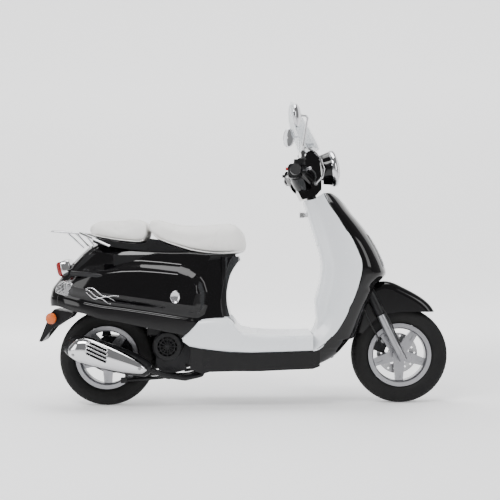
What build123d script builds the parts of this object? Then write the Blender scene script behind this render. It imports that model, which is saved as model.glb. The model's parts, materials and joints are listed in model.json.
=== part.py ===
"""A retro moped scooter, nose along +X, left side along +Y, standing on z = 0.

The origin is on the ground, half way between the front of the front tyre and the tip of the mud flap,
in the middle of the width. Sizes are millimetres.
"""

import os
from math import cos, hypot, radians, sin

from build123d import *

os.makedirs("parts", exist_ok=True)

# ---------------------------------------------------------------- driving dimensions
length = 1835  # front tyre to mud flap tip
wheelbase = 1320
tyre_radius = 216  # a 3.50-10 tyre
tyre_half_width = 46
tread_half_width = 21
rim_radius = 142  # over the flanges
rim_seat_half = 29  # between the flanges, half
rake = 26  # steering axis, degrees back from vertical
steering_offset = 37  # fork legs ahead of the steering axis
fork_half_spacing = 78
slider_radius = 19
slider_length = 205
body_half_width = 180  # rear body beside the helmet box
cowl_bulge = 32  # how far each cowl stands out of the body
shield_half_width = 215
floor_half_width = 190
panel = 4  # thickness of the body panels
handlebar_half_width = 340
bar_radius = 11
grip_radius = 17
axle_radius = 7.5
running = 0.06  # radial clearance of a pin or shaft in its bore
gap = 1  # between covers that meet
seat_half_width = 138

# ---------------------------------------------------------------- datums
front_axle_x = length / 2 - tyre_radius
rear_axle_x = front_axle_x - wheelbase
axle_z = tyre_radius
drawn_front_axle, drawn_rear_axle, drawn_axle_z = 701.5, -618.5, 216
front_shift = front_axle_x - drawn_front_axle
rear_shift = rear_axle_x - drawn_rear_axle
lift = axle_z - drawn_axle_z
side = Plane.XZ  # its normal points to the right hand side, -Y
rake_sin, rake_cos = sin(radians(rake)), cos(radians(rake))


def front(x, z):
    """A side view point of the front half, carried with the front axle."""
    return (x + front_shift, z + lift)


def rear(x, z):
    """A side view point of the rear half, carried with the rear axle."""
    return (x + rear_shift, z + lift)


def fronts(*points):
    return [front(x, z) for x, z in points]


def rears(*points):
    return [rear(x, z) for x, z in points]


def save(shape, name):
    shape.label = name
    export_step(shape, f"parts/{name}.step")


def at(point, y):
    """A side view point moved out to the plane y."""
    return (point[0], y, point[1])


def along_y(x, y, z):
    """A plane at that point whose normal is +Y."""
    return Plane(origin=(x, y, z), x_dir=(1, 0, 0), z_dir=(0, 1, 0))


def rod(start, end, radius):
    """A round bar between two points, as a part that joins no builder."""
    a, b = Vector(*start), Vector(*end)
    return Solid.make_cylinder(radius, (b - a).length, Plane(origin=a, z_dir=b - a))


def tube_path(points, radius, bend):
    """A bar along a filleted path, as a part that joins no builder."""
    with BuildPart(mode=Mode.PRIVATE) as bar:
        with BuildLine() as path:
            FilletPolyline(*points, radius=bend)
        with BuildSketch(Plane(origin=path.line @ 0, z_dir=path.line % 0)):
            Circle(radius)
        sweep()
    return bar.part


def prism(outline, low_y, high_y, shrink=0):
    """A side view outline pulled from y = low_y to y = high_y, drawn in by shrink."""
    with BuildPart(mode=Mode.PRIVATE) as block:
        with BuildSketch(side.offset(-high_y)):
            with BuildLine():
                Polyline(*outline, close=True)
            make_face()
            if shrink:
                offset(amount=-shrink, kind=Kind.INTERSECTION)
        extrude(amount=high_y - low_y)
    return block.part


def plan_prism(half_outline, low_z, high_z, shrink=0):
    """A plan outline given for its left half, front to back, mirrored and pulled up."""
    right_half = [(x, -y) for x, y in reversed(half_outline)]
    with BuildPart(mode=Mode.PRIVATE) as block:
        with BuildSketch(Plane.XY.offset(low_z)):
            with BuildLine():
                Polyline(*half_outline, *right_half, close=True)
            make_face()
            if shrink:
                offset(amount=-shrink, kind=Kind.INTERSECTION)
        extrude(amount=high_z - low_z)
    return block.part


def slab(low_x, high_x, low_y, high_y, low_z, high_z):
    """A block between those limits."""
    return prism([(low_x, low_z), (high_x, low_z), (high_x, high_z), (low_x, high_z)], low_y, high_y)


def nose_solid(stations, grow, back):
    """Ruled D shaped sections: (z, edge x, half width, nose x). The nose points along +X."""
    with BuildPart(mode=Mode.PRIVATE) as solid:
        for z, edge_x, half_width, nose_x in stations:
            wide = half_width + grow
            with BuildSketch(Plane.XY.offset(z)):
                with BuildLine():
                    ThreePointArc((edge_x, -wide), (nose_x + grow, 0), (edge_x, wide))
                    Polyline((edge_x, wide), (edge_x - back, wide), (edge_x - back, -wide), (edge_x, -wide))
                make_face()
        loft(ruled=True)
    return solid.part


def nose_sheet(stations, wall):
    """The sheet over such a nose, open behind."""
    return nose_solid(stations, 0, 1) - nose_solid(stations, -wall, 3)


def stack(stations):
    """A ruled solid through plan polygons: (z, left half outline from front to back)."""
    with BuildPart(mode=Mode.PRIVATE) as solid:
        for z, half_outline in stations:
            right_half = [(x, -y) for x, y in reversed(half_outline)]
            with BuildSketch(Plane.XY.offset(z)):
                with BuildLine():
                    Polyline(*half_outline, *right_half, close=True)
                make_face()
        loft(ruled=True)
    return solid.part


def mirrored(shape):
    """The same shape on the other side of the middle plane."""
    return shape.mirror(Plane.XZ)


def biggest(shape):
    """The largest solid of a cut part."""
    return shape.solids().sort_by(SortBy.VOLUME)[-1]


# ---------------------------------------------------------------- steering geometry
axle_point = Vector(front_axle_x, 0, axle_z)
fork_up = Vector(-rake_sin, 0, rake_cos)
fork_back = Vector(-rake_cos, 0, -rake_sin)
steer_foot = axle_point + fork_back * steering_offset


def on_fork(distance, y=0):
    """A point of the fork legs' line, that far up from the axle."""
    p = axle_point + fork_up * distance
    return Vector(p.X, y, p.Z)


def on_steering(distance, y=0):
    """A point of the steering axis, that far up from the foot beside the axle."""
    p = steer_foot + fork_up * distance
    return Vector(p.X, y, p.Z)


crown_distance = slider_length + 140
crown_thickness = 26
head_low, head_high = crown_distance + 40, crown_distance + 300
stem_radius, head_radius = 14, 24
stem_top = head_high + 125
stanchion_radius = 15
leg_cover_radius = slider_radius + 5


# ================================================================ wheels
def make_tyre(axle_x, name):
    bead_radius, sidewall_radius = rim_radius - 12, rim_radius + 34
    bead_half, carcass = rim_seat_half - 0.5, 8
    with BuildPart() as tyre:
        with BuildSketch(Plane(origin=(axle_x, 0, axle_z), x_dir=(0, 1, 0), z_dir=(1, 0, 0))) as section:
            for flank, tread, crown in (
                (tyre_half_width, tread_half_width, tyre_radius),
                (tyre_half_width - carcass, tread_half_width - 5, tyre_radius - carcass),
            ):
                narrow = tyre_half_width - flank
                shoulder = (flank - 5, crown - 13)
                low = (bead_half - narrow, bead_radius - narrow)
                with BuildLine():
                    for hand in (1, -1):
                        bead = (hand * low[0], rim_radius + 0.5 + narrow)
                        edge = (hand * shoulder[0], shoulder[1])
                        Line((hand * low[0], low[1]), bead)
                        ThreePointArc(bead, (hand * flank, sidewall_radius), edge)
                        corner = (hand * (tread + shoulder[0] - 3) / 2 + hand * 3, crown - 4)
                        ThreePointArc(edge, corner, (hand * tread, crown))
                    Line((tread, crown), (-tread, crown))
                    Line(low, (-low[0], low[1]))
                make_face(mode=Mode.ADD if narrow == 0 else Mode.SUBTRACT)
        revolve(axis=Axis((axle_x, 0, axle_z), (0, 1, 0)))
    save(tyre.part, name)


def make_rim(axle_x, name, hub_low, hub_high, hub_radius, bore):
    """A cast rim: barrel, two flanges, five spokes and a hub from hub_low to hub_high in y."""
    flange_half, barrel_half, barrel_wall = 35, rim_seat_half, 6
    barrel_radius = rim_radius - 18
    spoke_root, spoke_tip, spoke_half = 27, 17, 11
    centre = (axle_x, 0, axle_z)
    axis = Axis(centre, (0, 1, 0))
    with BuildPart() as rim:
        with BuildSketch(Plane(origin=centre, x_dir=(0, 1, 0), z_dir=(1, 0, 0))):
            with BuildLine():
                Polyline(
                    (-flange_half, rim_radius),
                    (-barrel_half, rim_radius),
                    (-barrel_half, rim_radius - 14),
                    (-barrel_half + 10, barrel_radius),
                    (barrel_half - 10, barrel_radius),
                    (barrel_half, rim_radius - 14),
                    (barrel_half, rim_radius),
                    (flange_half, rim_radius),
                    (flange_half, rim_radius - 18),
                    (barrel_half - 8, barrel_radius - barrel_wall),
                    (-barrel_half + 8, barrel_radius - barrel_wall),
                    (-flange_half, rim_radius - 18),
                    close=True,
                )
            make_face()
        revolve(axis=axis)
        with BuildSketch(along_y(axle_x, -spoke_half, axle_z)):
            with PolarLocations(0, 5, start_angle=90):
                reach = barrel_radius - barrel_wall / 2
                Polygon(
                    (0, -spoke_root), (reach, -spoke_tip), (reach, spoke_tip), (0, spoke_root), align=None,
                )
        extrude(amount=2 * spoke_half)
        with BuildSketch(along_y(axle_x, hub_low, axle_z)):
            Circle(hub_radius)
        extrude(amount=hub_high - hub_low)
        with BuildSketch(along_y(axle_x, -spoke_half - 1, axle_z)):
            with PolarLocations(barrel_radius - 30, 5, start_angle=90):
                SlotOverall(30, 11)
        extrude(amount=6, mode=Mode.SUBTRACT)
        with BuildSketch(along_y(axle_x, hub_low - 1, axle_z)):
            Circle(bore)
        extrude(amount=hub_high - hub_low + 2, mode=Mode.SUBTRACT)
    save(rim.part, name)


front_hub_half, front_hub_radius = 46, 32
rear_hub_low, rear_hub_high, rear_hub_radius = -42, 48, 58
rear_shaft_radius = 8
make_tyre(front_axle_x, "front_tyre")
make_tyre(rear_axle_x, "rear_tyre")
make_rim(front_axle_x, "front_rim", -front_hub_half, front_hub_half, front_hub_radius, axle_radius + running)
make_rim(rear_axle_x, "rear_rim", rear_hub_low, rear_hub_high, rear_hub_radius, rear_shaft_radius + running)

disc_radius, disc_thickness = 93, 4
disc_y = front_hub_half
with BuildPart() as brake_disc:
    with BuildSketch(along_y(front_axle_x, disc_y, axle_z)):
        Circle(disc_radius)
        Circle(axle_radius + 10, mode=Mode.SUBTRACT)
        with PolarLocations(disc_radius - 13, 9):
            Circle(4.5, mode=Mode.SUBTRACT)
        with PolarLocations(disc_radius - 21, 9, start_angle=20):
            Circle(4.5, mode=Mode.SUBTRACT)
        with PolarLocations(disc_radius - 44, 5, start_angle=54):
            SlotOverall(26, 15, rotation=90, mode=Mode.SUBTRACT)
    extrude(amount=disc_thickness)
save(brake_disc.part, "brake_disc")

# ================================================================ fork
with BuildPart() as fork_sliders:
    for hand in (1, -1):
        foot = on_fork(0, hand * fork_half_spacing)
        with BuildSketch(Plane(origin=foot - fork_up * slider_radius, z_dir=fork_up)):
            Circle(slider_radius)
        extrude(amount=slider_length + slider_radius)
        with BuildSketch(Plane(origin=on_fork(40, hand * fork_half_spacing), z_dir=fork_up)):
            Circle(stanchion_radius + running)
        extrude(amount=slider_length, mode=Mode.SUBTRACT)
    reach = fork_half_spacing + slider_radius + 6
    with BuildSketch(along_y(front_axle_x, -reach, axle_z)):
        Circle(axle_radius)
    extrude(amount=2 * reach)
    for low in (-reach - 2, reach - 8):
        with BuildSketch(along_y(front_axle_x, low, axle_z)):
            RegularPolygon(13, 6)
        extrude(amount=10)
    for low, high in ((front_hub_half + disc_thickness + gap, fork_half_spacing), (-fork_half_spacing, -47)):
        with BuildSketch(along_y(front_axle_x, low, axle_z)):
            Circle(axle_radius + 4)
        extrude(amount=high - low)
save(fork_sliders.part, "fork_sliders")

stanchion_low = 100
with BuildPart() as fork_stem:
    with BuildSketch(Plane(origin=on_steering(crown_distance), z_dir=fork_up)):
        Circle(stem_radius)
    extrude(amount=stem_top - crown_distance)
    crown_plane = Plane(origin=on_fork(crown_distance), x_dir=(0, 1, 0), z_dir=fork_up)
    with BuildSketch(crown_plane):
        with BuildLine():
            wide, deep, back = fork_half_spacing + 24, 24, steering_offset + 24
            Polyline(
                (-wide, -deep), (wide, -deep), (wide, deep), (22, back), (-22, back), (-wide, deep),
                close=True,
            )
        make_face()
    extrude(amount=crown_thickness)
    for hand in (1, -1):
        with BuildSketch(Plane(origin=on_fork(stanchion_low, hand * fork_half_spacing), z_dir=fork_up)):
            Circle(stanchion_radius)
        extrude(amount=crown_distance + 1 - stanchion_low)
        with BuildSketch(Plane(origin=on_fork(slider_length + 6, hand * fork_half_spacing), z_dir=fork_up)):
            Circle(leg_cover_radius)
            Circle(slider_radius + 0.8, mode=Mode.SUBTRACT)
        extrude(amount=crown_distance - slider_length - 6)
save(fork_stem.part, "fork_stem")

caliper_centre = (front_axle_x - 84, axle_z + 30)
brake_pipe = tube_path(
    [
        (caliper_centre[0] - 6, 70, caliper_centre[1] + 8),
        (caliper_centre[0] - 10, 96, caliper_centre[1] + 14),
        (caliper_centre[0] - 40, 104, caliper_centre[1] + 44),
        (caliper_centre[0] - 52, 104, caliper_centre[1] + 84),
    ],
    4,
    8,
)
with BuildPart() as brake_caliper:
    with BuildSketch(along_y(caliper_centre[0], 33, caliper_centre[1])):
        RectangleRounded(42, 62, 8, rotation=-70)
    extrude(amount=36)
    with BuildSketch(along_y(front_axle_x, disc_y - 0.6, axle_z)):
        Circle(disc_radius + 0.8)
    extrude(amount=disc_thickness + 1.2, mode=Mode.SUBTRACT)
    for hole in ((-12, 16), (10, -18)):
        with BuildSketch(along_y(caliper_centre[0] + hole[0], 30, caliper_centre[1] + hole[1])):
            Circle(4)
        extrude(amount=6, mode=Mode.SUBTRACT)
    lug_top = on_fork(96, fork_half_spacing)
    with BuildSketch(along_y(0, 60, 0)):
        with BuildLine():
            Polyline(
                (caliper_centre[0] - 4, -caliper_centre[1] - 22),
                (lug_top.X - slider_radius - 4, -lug_top.Z - 8),
                (on_fork(52).X - slider_radius - 4, -on_fork(52).Z + 6),
                (caliper_centre[0] + 8, -caliper_centre[1] + 16),
                close=True,
            )
        make_face()
    extrude(amount=9)
    add(brake_pipe)
save(brake_caliper.part, "brake_caliper")

neck_cut = 809
over_neck = extrude(Plane(origin=on_steering(neck_cut - 2), z_dir=fork_up) * Rectangle(900, 900), 300)
under_neck = extrude(Plane(origin=on_steering(neck_cut + 2), z_dir=fork_up) * Rectangle(900, 900), -300)

# ---------------------------------------------------------------- front mudguard, carried by the crown
guard_half_width, guard_wall = 68, 3
guard_points = fronts(
    (492, 355), (520, 452), (560, 520), (621, 549), (666, 545), (711, 525), (757, 501), (802, 473),
    (838, 441), (857, 411),
)
guard_low = fronts((852, 410), (710, 412), (640, 404), (580, 372), (530, 318), (488, 330))


def guard_solid(shrink):
    """The mudguard as a solid, or its hollow if shrink is the wall."""
    with BuildPart(mode=Mode.PRIVATE) as solid:
        with BuildSketch(side.offset(-(guard_half_width - shrink))):
            with BuildLine():
                Spline(*guard_points)
                Polyline(guard_points[-1], *guard_low, guard_points[0])
            make_face()
        extrude(amount=2 * (guard_half_width - shrink))
        top = solid.edges().filter_by(GeomType.BSPLINE)
        fillet(top, radius=34 - shrink)
    return solid.part


guard_outer, hollow = guard_solid(0), guard_solid(guard_wall)
with BuildPart() as front_mudguard:
    add(guard_outer)
    add(hollow.moved(Location((0, 0, -guard_wall * 1.6))), mode=Mode.SUBTRACT)
    add(hollow.moved(Location((0, 0, -24))), mode=Mode.SUBTRACT)
    for hand in (1, -1):
        foot = on_fork(60, hand * fork_half_spacing)
        with BuildSketch(Plane(origin=foot, z_dir=fork_up)):
            Circle(leg_cover_radius + 1)
        extrude(amount=crown_distance - 60, mode=Mode.SUBTRACT)
    with BuildSketch(Plane(origin=on_fork(crown_distance - 0.5), x_dir=(0, 1, 0), z_dir=fork_up)):
        Rectangle(2 * fork_half_spacing + 60, 170)
    extrude(amount=crown_thickness + 1, mode=Mode.SUBTRACT)
    # room for the tyre when the fork is pressed in
    for travel in (20, 38, 56):
        raised = Vector(front_axle_x, 0, axle_z) + fork_up * travel
        with BuildSketch(along_y(raised.X, -52, raised.Z)):
            Circle(tyre_radius + 3)
        extrude(amount=104, mode=Mode.SUBTRACT)
save(front_mudguard.part.solids().sort_by(SortBy.VOLUME)[-1], "front_mudguard")

# ================================================================ rear body
body_outline = rears(
    (
        -18, 667,
    ), (-12, 650), (-24, 641), (-43, 614), (-57, 587), (-66, 555), (-73, 514), (-74, 483), (-72, 455),
    (-66, 425), (-60, 404), (-188, 399), (-268, 333), (-411, 358), (-542, 385), (-695, 420), (-826, 452),
    (-881, 456), (-901, 462), (-901, 484), (-876, 487), (-867, 527), (-853, 549), (-834, 572), (-811, 603),
    (-788, 631), (-765, 653), (-742, 676), (-719, 698), (-697, 714), (-665, 726), (-639, 723), (-574, 710),
    (-495, 698), (-407, 689), (-320, 684), (-260, 681), (-215, 667),
)  # fmt: skip
half_plan = [
    (-10, 40), (-22, 78), (-45, 108), (-78, 140), (-120, 160), (-180, 174), (-260, body_half_width),
    (-520, body_half_width), (-640, 172), (-740, 155), (-820, 128), (-875, 92), (-905, 45),
]  # fmt: skip
half_plan = [(x + rear_shift, y * body_half_width / 180) for x, y in half_plan]
cowl_outline = rears(
    (-735, 600), (-720, 625), (-664, 635), (-620, 643), (-533, 651), (-447, 652), (-360, 645), (-273, 635),
    (-230, 620), (-196, 598), (-170, 559), (-157, 515), (-153, 480), (-162, 446), (-176, 416), (-192, 402),
    (-272, 404), (-408, 425), (-538, 444), (-625, 455), (-712, 472), (-745, 480),
)  # fmt: skip
lamp_outline = rears((-872, 588), (-857, 578), (-826, 574), (-762, 660), (-806, 672), (-842, 664))
indicator_outline = rears(
    (-862, 520), (-835, 566), (-807, 572), (-767, 568), (-758, 564), (-781, 526), (-803, 504),
)
tail_half_width = 70
lamp_half_width = 62


def body_solid(shrink):
    sides = prism(body_outline, -200, 200, shrink)
    return sides & plan_prism(half_plan, 200, 900, shrink)


def cowl_solid(shrink):
    """The raised part of a side cowl on the right, sloping in all round."""
    foot_y = body_half_width - panel - 14
    with BuildPart(mode=Mode.PRIVATE) as bulge:
        with BuildSketch(side.offset(foot_y)):
            with BuildLine():
                Polyline(*cowl_outline, close=True)
            make_face()
            if shrink:
                offset(amount=-shrink, kind=Kind.INTERSECTION)
        extrude(amount=cowl_bulge + panel + 14 - shrink, taper=28)
    return bulge.part


body_inner = body_solid(panel)
seat_opening = slab(rear(-640, 0)[0], rear(-135, 0)[0], -142, 142, 640, 760)
body_floor_cut = body_inner.moved(Location((0, 0, -24))) & slab(-900, rear(-94, 0)[0], -170, 170, 200, 560)
body_shell = body_solid(0) - body_inner - seat_opening - body_floor_cut
front_split, tail_split = rear(-94, 0)[0], rear(-655, 0)[0]
lamp_hole = prism(lamp_outline, -lamp_half_width - gap, lamp_half_width + gap, -gap)
indicator_hole_right = prism(indicator_outline, -220, -tail_half_width - 6, -gap)
tail_holes = lamp_hole + indicator_hole_right + mirrored(indicator_hole_right)
tail_zone = slab(-1000, tail_split, -tail_half_width, tail_half_width, 430, 760)
side_zone = slab(-1000, front_split - gap, -300, -gap / 2, 200, 760)
cowl_right = cowl_solid(0) - cowl_solid(panel) - cowl_solid(panel).moved(Location((0, 12, 0)))
with BuildPart() as body_right:
    add(body_shell & side_zone)
    add(slab(-1000, tail_split + gap, -tail_half_width - gap, 0, 430, 760), mode=Mode.SUBTRACT)
    add(cowl_solid(panel + 2).moved(Location((0, 12, 0))), mode=Mode.SUBTRACT)
    add(cowl_right)
    add(tail_holes, mode=Mode.SUBTRACT)
    slot_x, slot_z = rear(-196, 366)
    for row in range(3):
        with BuildSketch(side.offset(body_half_width + 40)):
            with Locations((slot_x - 26 * row, slot_z + 16 * row - 22)):
                SlotOverall(58, 8, rotation=-12)
        extrude(amount=-80, mode=Mode.SUBTRACT)
right_panel = biggest(body_right.part)
save(right_panel, "body_right")
save(mirrored(right_panel), "body_left")

seat_hinge = rear(-34, 655)
with BuildPart() as front_panel:
    add(body_shell & slab(front_split, 100, -300, 300, 200, 760))
    add(slab(rear(-140, 0)[0], rear(-17, 0)[0], -40, 40, 646, 700), mode=Mode.SUBTRACT)
    for y in (41, -47):
        add(slab(seat_hinge[0] - 9, seat_hinge[0] + 9, y, y + 6, seat_hinge[1] - 8, seat_hinge[1] + 10))
    hinge_bore = Solid.make_cylinder(
        5 + running, 98, Plane((seat_hinge[0], -49, seat_hinge[1]), z_dir=(0, 1, 0)),
    )
    add(hinge_bore, mode=Mode.SUBTRACT)
    with BuildSketch(Plane.YZ.offset(100)):
        with Locations((0, 590)):
            Circle(6)
    extrude(amount=-300, mode=Mode.SUBTRACT)
save(biggest(front_panel.part), "front_panel")

with BuildPart() as tail_panel:
    add(body_shell & tail_zone)
    add(lamp_hole, mode=Mode.SUBTRACT)
save(biggest(tail_panel.part), "tail_panel")

with BuildPart() as tail_lamp:
    add(prism(lamp_outline, -lamp_half_width, lamp_half_width))
    chamfer(tail_lamp.faces().sort_by(Axis.Y)[0].edges(), length=5)
    chamfer(tail_lamp.faces().sort_by(Axis.Y)[-1].edges(), length=5)
save(tail_lamp.part, "tail_lamp")

lens_band = body_solid(-3) - body_solid(16)
lens_right = biggest(prism(indicator_outline, -200, -tail_half_width - 8) & lens_band)
with BuildPart() as rear_indicators:
    add(lens_right)
    add(mirrored(lens_right))
save(rear_indicators.part, "rear_indicators")

flap_outline = rears(
    (-848, 438), (-866, 420), (-917.5, 295), (-905, 293), (-856, 352), (-809, 382), (-780, 398), (-763, 421),
)
wheel_room = tyre_radius + 14
with BuildPart() as rear_mudflap:
    add(prism(flap_outline, -64, 64))
    with BuildSketch(along_y(rear_axle_x + 6, -tyre_half_width - 8, axle_z + 50)):
        Circle(wheel_room)
    extrude(amount=2 * tyre_half_width + 16, mode=Mode.SUBTRACT)
    flap_inner = prism(flap_outline, -58, 58, 5)
    add(flap_inner.moved(Location((8, 0, -4))), mode=Mode.SUBTRACT)
save(biggest(rear_mudflap.part), "rear_mudflap")

rack_radius = 5
rack_y = 90
hoop = tube_path(
    [
        at(rear(-583, 718), 152),
        at(rear(-658, 751), 140),
        at(rear(-724, 778), rack_y + 8),
        at(rear(-852, 787), rack_y),
        at(rear(-852, 787), -rack_y),
        at(rear(-724, 778), -rack_y - 8),
        at(rear(-658, 751), -140),
        at(rear(-583, 718), -152),
    ],
    rack_radius,
    14,
)
with BuildPart() as luggage_rack:
    add(hoop)
    for y in (-45, 0, 45):
        add(rod(at(rear(-852, 787), y), at(rear(-724, 779), y), 4))
    add(rod(at(rear(-730, 778), -rack_y - 5), at(rear(-730, 778), rack_y + 5), rack_radius))
    for y in (-rack_y, rack_y):
        add(rod(at(rear(-782, 782), y), at(rear(-707, 712), y), 4))
        add(rod(at(rear(-740, 779), y), at(rear(-690, 720), y), 4))
save(luggage_rack.part, "luggage_rack")

# ---------------------------------------------------------------- inside the rear body
box_half_width = 138
box_outline = rears(
    (-218, 664), (-142, 664), (-142, 440), (-385, 440), (-410, 522), (-560, 530), (-572, 679), (-258, 679),
)
box_cavity = prism(box_outline, -box_half_width + 3, box_half_width - 3, 3)
with BuildPart() as helmet_box:
    add(prism(box_outline, -box_half_width, box_half_width))
    add(box_cavity, mode=Mode.SUBTRACT)
    add(box_cavity.moved(Location((0, 0, 12))), mode=Mode.SUBTRACT)
save(biggest(helmet_box.part), "helmet_box")

tank_outline = rears(
    (-600, 540), (-745, 540), (-760, 560), (-752, 620), (-700, 680), (-625, 692), (-600, 680),
)
filler_x, filler_z = rear(-655, 690)
with BuildPart() as fuel_tank:
    add(prism(tank_outline, -84, 84))
    with BuildSketch(Plane.XY.offset(filler_z - 10)):
        with Locations((filler_x, 0)):
            Circle(24)
    extrude(amount=24)
save(fuel_tank.part, "fuel_tank")

with BuildPart() as battery:
    add(slab(front(60, 0)[0], front(206, 0)[0], -42, 42, 192 + lift, 284 + lift))
    fillet(battery.edges().filter_by(Axis.Z), radius=4)
    with BuildSketch(Plane.XY.offset(284 + lift)):
        with Locations((front(75, 0)[0], 30), (front(75, 0)[0], -30)):
            Circle(6)
    extrude(amount=9)
save(battery.part, "battery")

# ---------------------------------------------------------------- frame
pivot_x, pivot_z = rear(-256, 189)
rail_y, rail_radius = 92, 14
seat_rail_y, seat_rail_radius = 157, 11
shock_y = 116
shock_top = rear(-640, 590)
cross_x = front(392, 0)[0]
side_x, side_z = rear(-96, 196)
side_y = 132


def frame_side(hand):
    """The rails on one side: floor rail, then up and out to the seat rail."""
    floor_rail = tube_path(
        [
            (cross_x, hand * 40, 226 + lift),
            (cross_x - 70, hand * rail_y, 208 + lift),
            at(rear(-90, 204), hand * rail_y),
            at(rear(-128, 300), hand * 126),
            at(rear(-130, 372), hand * 140),
        ],
        rail_radius,
        24,
    )
    seat_rail = tube_path(
        [
            at(rear(-129, 352), hand * 137),
            at(rear(-136, 404), hand * 144),
            at(rear(-200, 470), hand * seat_rail_y),
            at(rear(-300, 560), hand * seat_rail_y),
            at(rear(-640, 590), hand * (seat_rail_y - 6)),
            at(rear(-760, 600), hand * 118),
        ],
        seat_rail_radius,
        30,
    )
    return floor_rail, seat_rail


frame_tubes = [tube for hand in (1, -1) for tube in frame_side(hand)]
down_tube = tube_path(
    [
        tuple(on_steering(head_low + 60) + Vector(-12, 0, 0)),
        tuple(on_steering(head_low + 10) + Vector(-26, 0, 0)),
        (cross_x + 12, 0, 330 + lift),
        (cross_x - 6, 0, 226 + lift),
    ],
    18,
    30,
)
with BuildPart() as frame:
    with BuildSketch(Plane(origin=on_steering(head_low), z_dir=fork_up)):
        Circle(head_radius)
    extrude(amount=head_high - head_low)
    add(down_tube)
    for tube in frame_tubes:
        add(tube)
    add(rod((cross_x - 4, -60, 222 + lift), (cross_x - 4, 60, 222 + lift), 15))
    add(rod(at(rear(-118, 250), -108), at(rear(-118, 250), 108), 12))
    for y in (-64, 64):
        add(prism(
            rears((-110, 240), (-112, 262), (-262, 208), (-272, 190), (-256, 172), (-236, 178)), y - 4, y + 4,
        ))
    add(rod(at(rear(-420, 571), -seat_rail_y), at(rear(-420, 571), -box_half_width - 1), 6))
    add(rod(
        (shock_top[0], seat_rail_y, shock_top[1]), (shock_top[0], shock_y - 14, shock_top[1]), axle_radius,
    ))
    add(rod((side_x, rail_y, side_z), (side_x, side_y + 12, side_z), 5))
    with BuildSketch(Plane(origin=on_steering(head_low - 1), z_dir=fork_up)):
        Circle(stem_radius + running)
    extrude(amount=head_high - head_low + 2, mode=Mode.SUBTRACT)
    add(rod((pivot_x, -70, pivot_z), (pivot_x, 70, pivot_z), axle_radius))
save(frame.part, "frame")

# ================================================================ floor and belly
floor_plan = [
    (front(336, 0)[0], floor_half_width + 4),
    (front(20, 0)[0], floor_half_width),
    (rear(-190, 0)[0], floor_half_width),
    (rear(-272, 0)[0], floor_half_width - 4),
]
floor_joint = front(300, 0)[0]
floor_outline = [
    *rears((-265, 318), (-262, 299), (-238, 281), (-190, 270), (-125, 261), (-60, 254)),
    *fronts(
        (27, 250), (157, 252), (243, 255), (300, 258), (300, 334), (255, 322), (209, 318), (82, 318),
        (36, 322),
    ),
    *rears((-18, 342), (-41, 367), (-57, 396), (-188, 396)),
]


def floor_solid(shrink):
    return prism(floor_outline, -230, 230, shrink) & plan_prism(floor_plan, 200, 420, shrink)


floor_inner = floor_solid(panel)
floor_open_top = slab(
    rear(-300, 0)[0], rear(-76, 0)[0], -floor_half_width + 16, floor_half_width - 16, 240, 420,
)
cover_low, cover_high = front(34, 0)[0], front(223, 0)[0]
with BuildPart() as floor_board:
    add(floor_solid(0))
    add(floor_inner, mode=Mode.SUBTRACT)
    add(floor_inner.moved(Location((0, 0, -20))), mode=Mode.SUBTRACT)
    add(floor_open_top, mode=Mode.SUBTRACT)
    with BuildSketch(Plane.XY.offset(300 + lift)):
        with Locations(((cover_low + cover_high) / 2, 0)):
            Rectangle(cover_high - cover_low + 2, 300)
            Rectangle(cover_high - cover_low, 298, mode=Mode.SUBTRACT)
    for y in (-120, -72, -24, 24, 72, 120):
        with BuildSketch(Plane.XY.offset(317 + lift)):
            with Locations(((cover_low + cover_high) / 2 + 20, y)):
                SlotOverall(cover_high - cover_low - 20, 12)
        extrude(amount=3.5)
save(biggest(floor_board.part), "floor_board")

belly_outline = [
    *rears((-232, 277), (-236, 180), (-182, 158), (-151, 167), (-40, 169)),
    *fronts(
        (70, 168), (202, 173), (299, 176), (326, 185), (352, 197), (352, 282), (330, 256), (300, 255),
        (243, 252),
    ),
    *fronts((157, 249), (27, 247)),
    *rears((-60, 251), (-125, 258), (-190, 267)),
]
belly_plan = [
    (360 + front_shift, 176), (300 + front_shift, 184), (rear(-180, 0)[0], 184), (rear(-236, 0)[0], 172),
]


def belly_solid(shrink):
    return prism(belly_outline, -230, 230, shrink) & plan_prism(belly_plan, 120, 300, shrink)


belly_inner = belly_solid(panel)
belly_back_cut = slab(rear(-300, 0)[0], rear(-104, 0)[0], -112, 112, 100, 300)
belly_stand_cut = slab(rear(-300, 0)[0], rear(-72, 0)[0], 110, 164, 100, 232)
with BuildPart() as belly_pan:
    add(belly_solid(0))
    add(belly_inner, mode=Mode.SUBTRACT)
    add(belly_inner.moved(Location((0, 0, 14))), mode=Mode.SUBTRACT)
    add(belly_inner.moved(Location((40, 0, 4))), mode=Mode.SUBTRACT)
    add(belly_back_cut, mode=Mode.SUBTRACT)
    add(belly_stand_cut, mode=Mode.SUBTRACT)
save(biggest(belly_pan.part), "belly_pan")

# ================================================================ leg shield
shield_edge = [(185, 344), (260, 356), (316, 382), (346, 408), (397, 439), (445, 461), (496, 483), (548, 501),
               (596, 512), (639, 513), (691, 498), (743, 472), (791, 443), (843, 413), (882, 387), (917, 370),
               (949, 362)]  # fmt: skip
shield_nose = [414, 452, 486, 503, 527, 548, 568, 596, 634, 640, 606, 574, 539, 498, 469, 444, 398]
shield_wide = [176, 186, 194, 198, 204, 208, 211, 214, 215, 214, 210, 203, 194, 180, 166, 148, 118]
shield_scale = shield_half_width / 215
shield_stations = [
    (z + lift, x + front_shift, wide * shield_scale, nose + front_shift)
    for (z, x), nose, wide in zip(shield_edge, shield_nose, shield_wide)
]
full_droop = 60
wheel_reach = tyre_radius + full_droop - 14
light_outline = fronts(
    (488, 772), (516, 722), (545, 677), (558, 637), (566, 603), (600, 608), (606, 640), (588, 676),
    (558, 720), (520, 758),
)
light_right = prism(light_outline, -150, -78, -gap)
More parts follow.
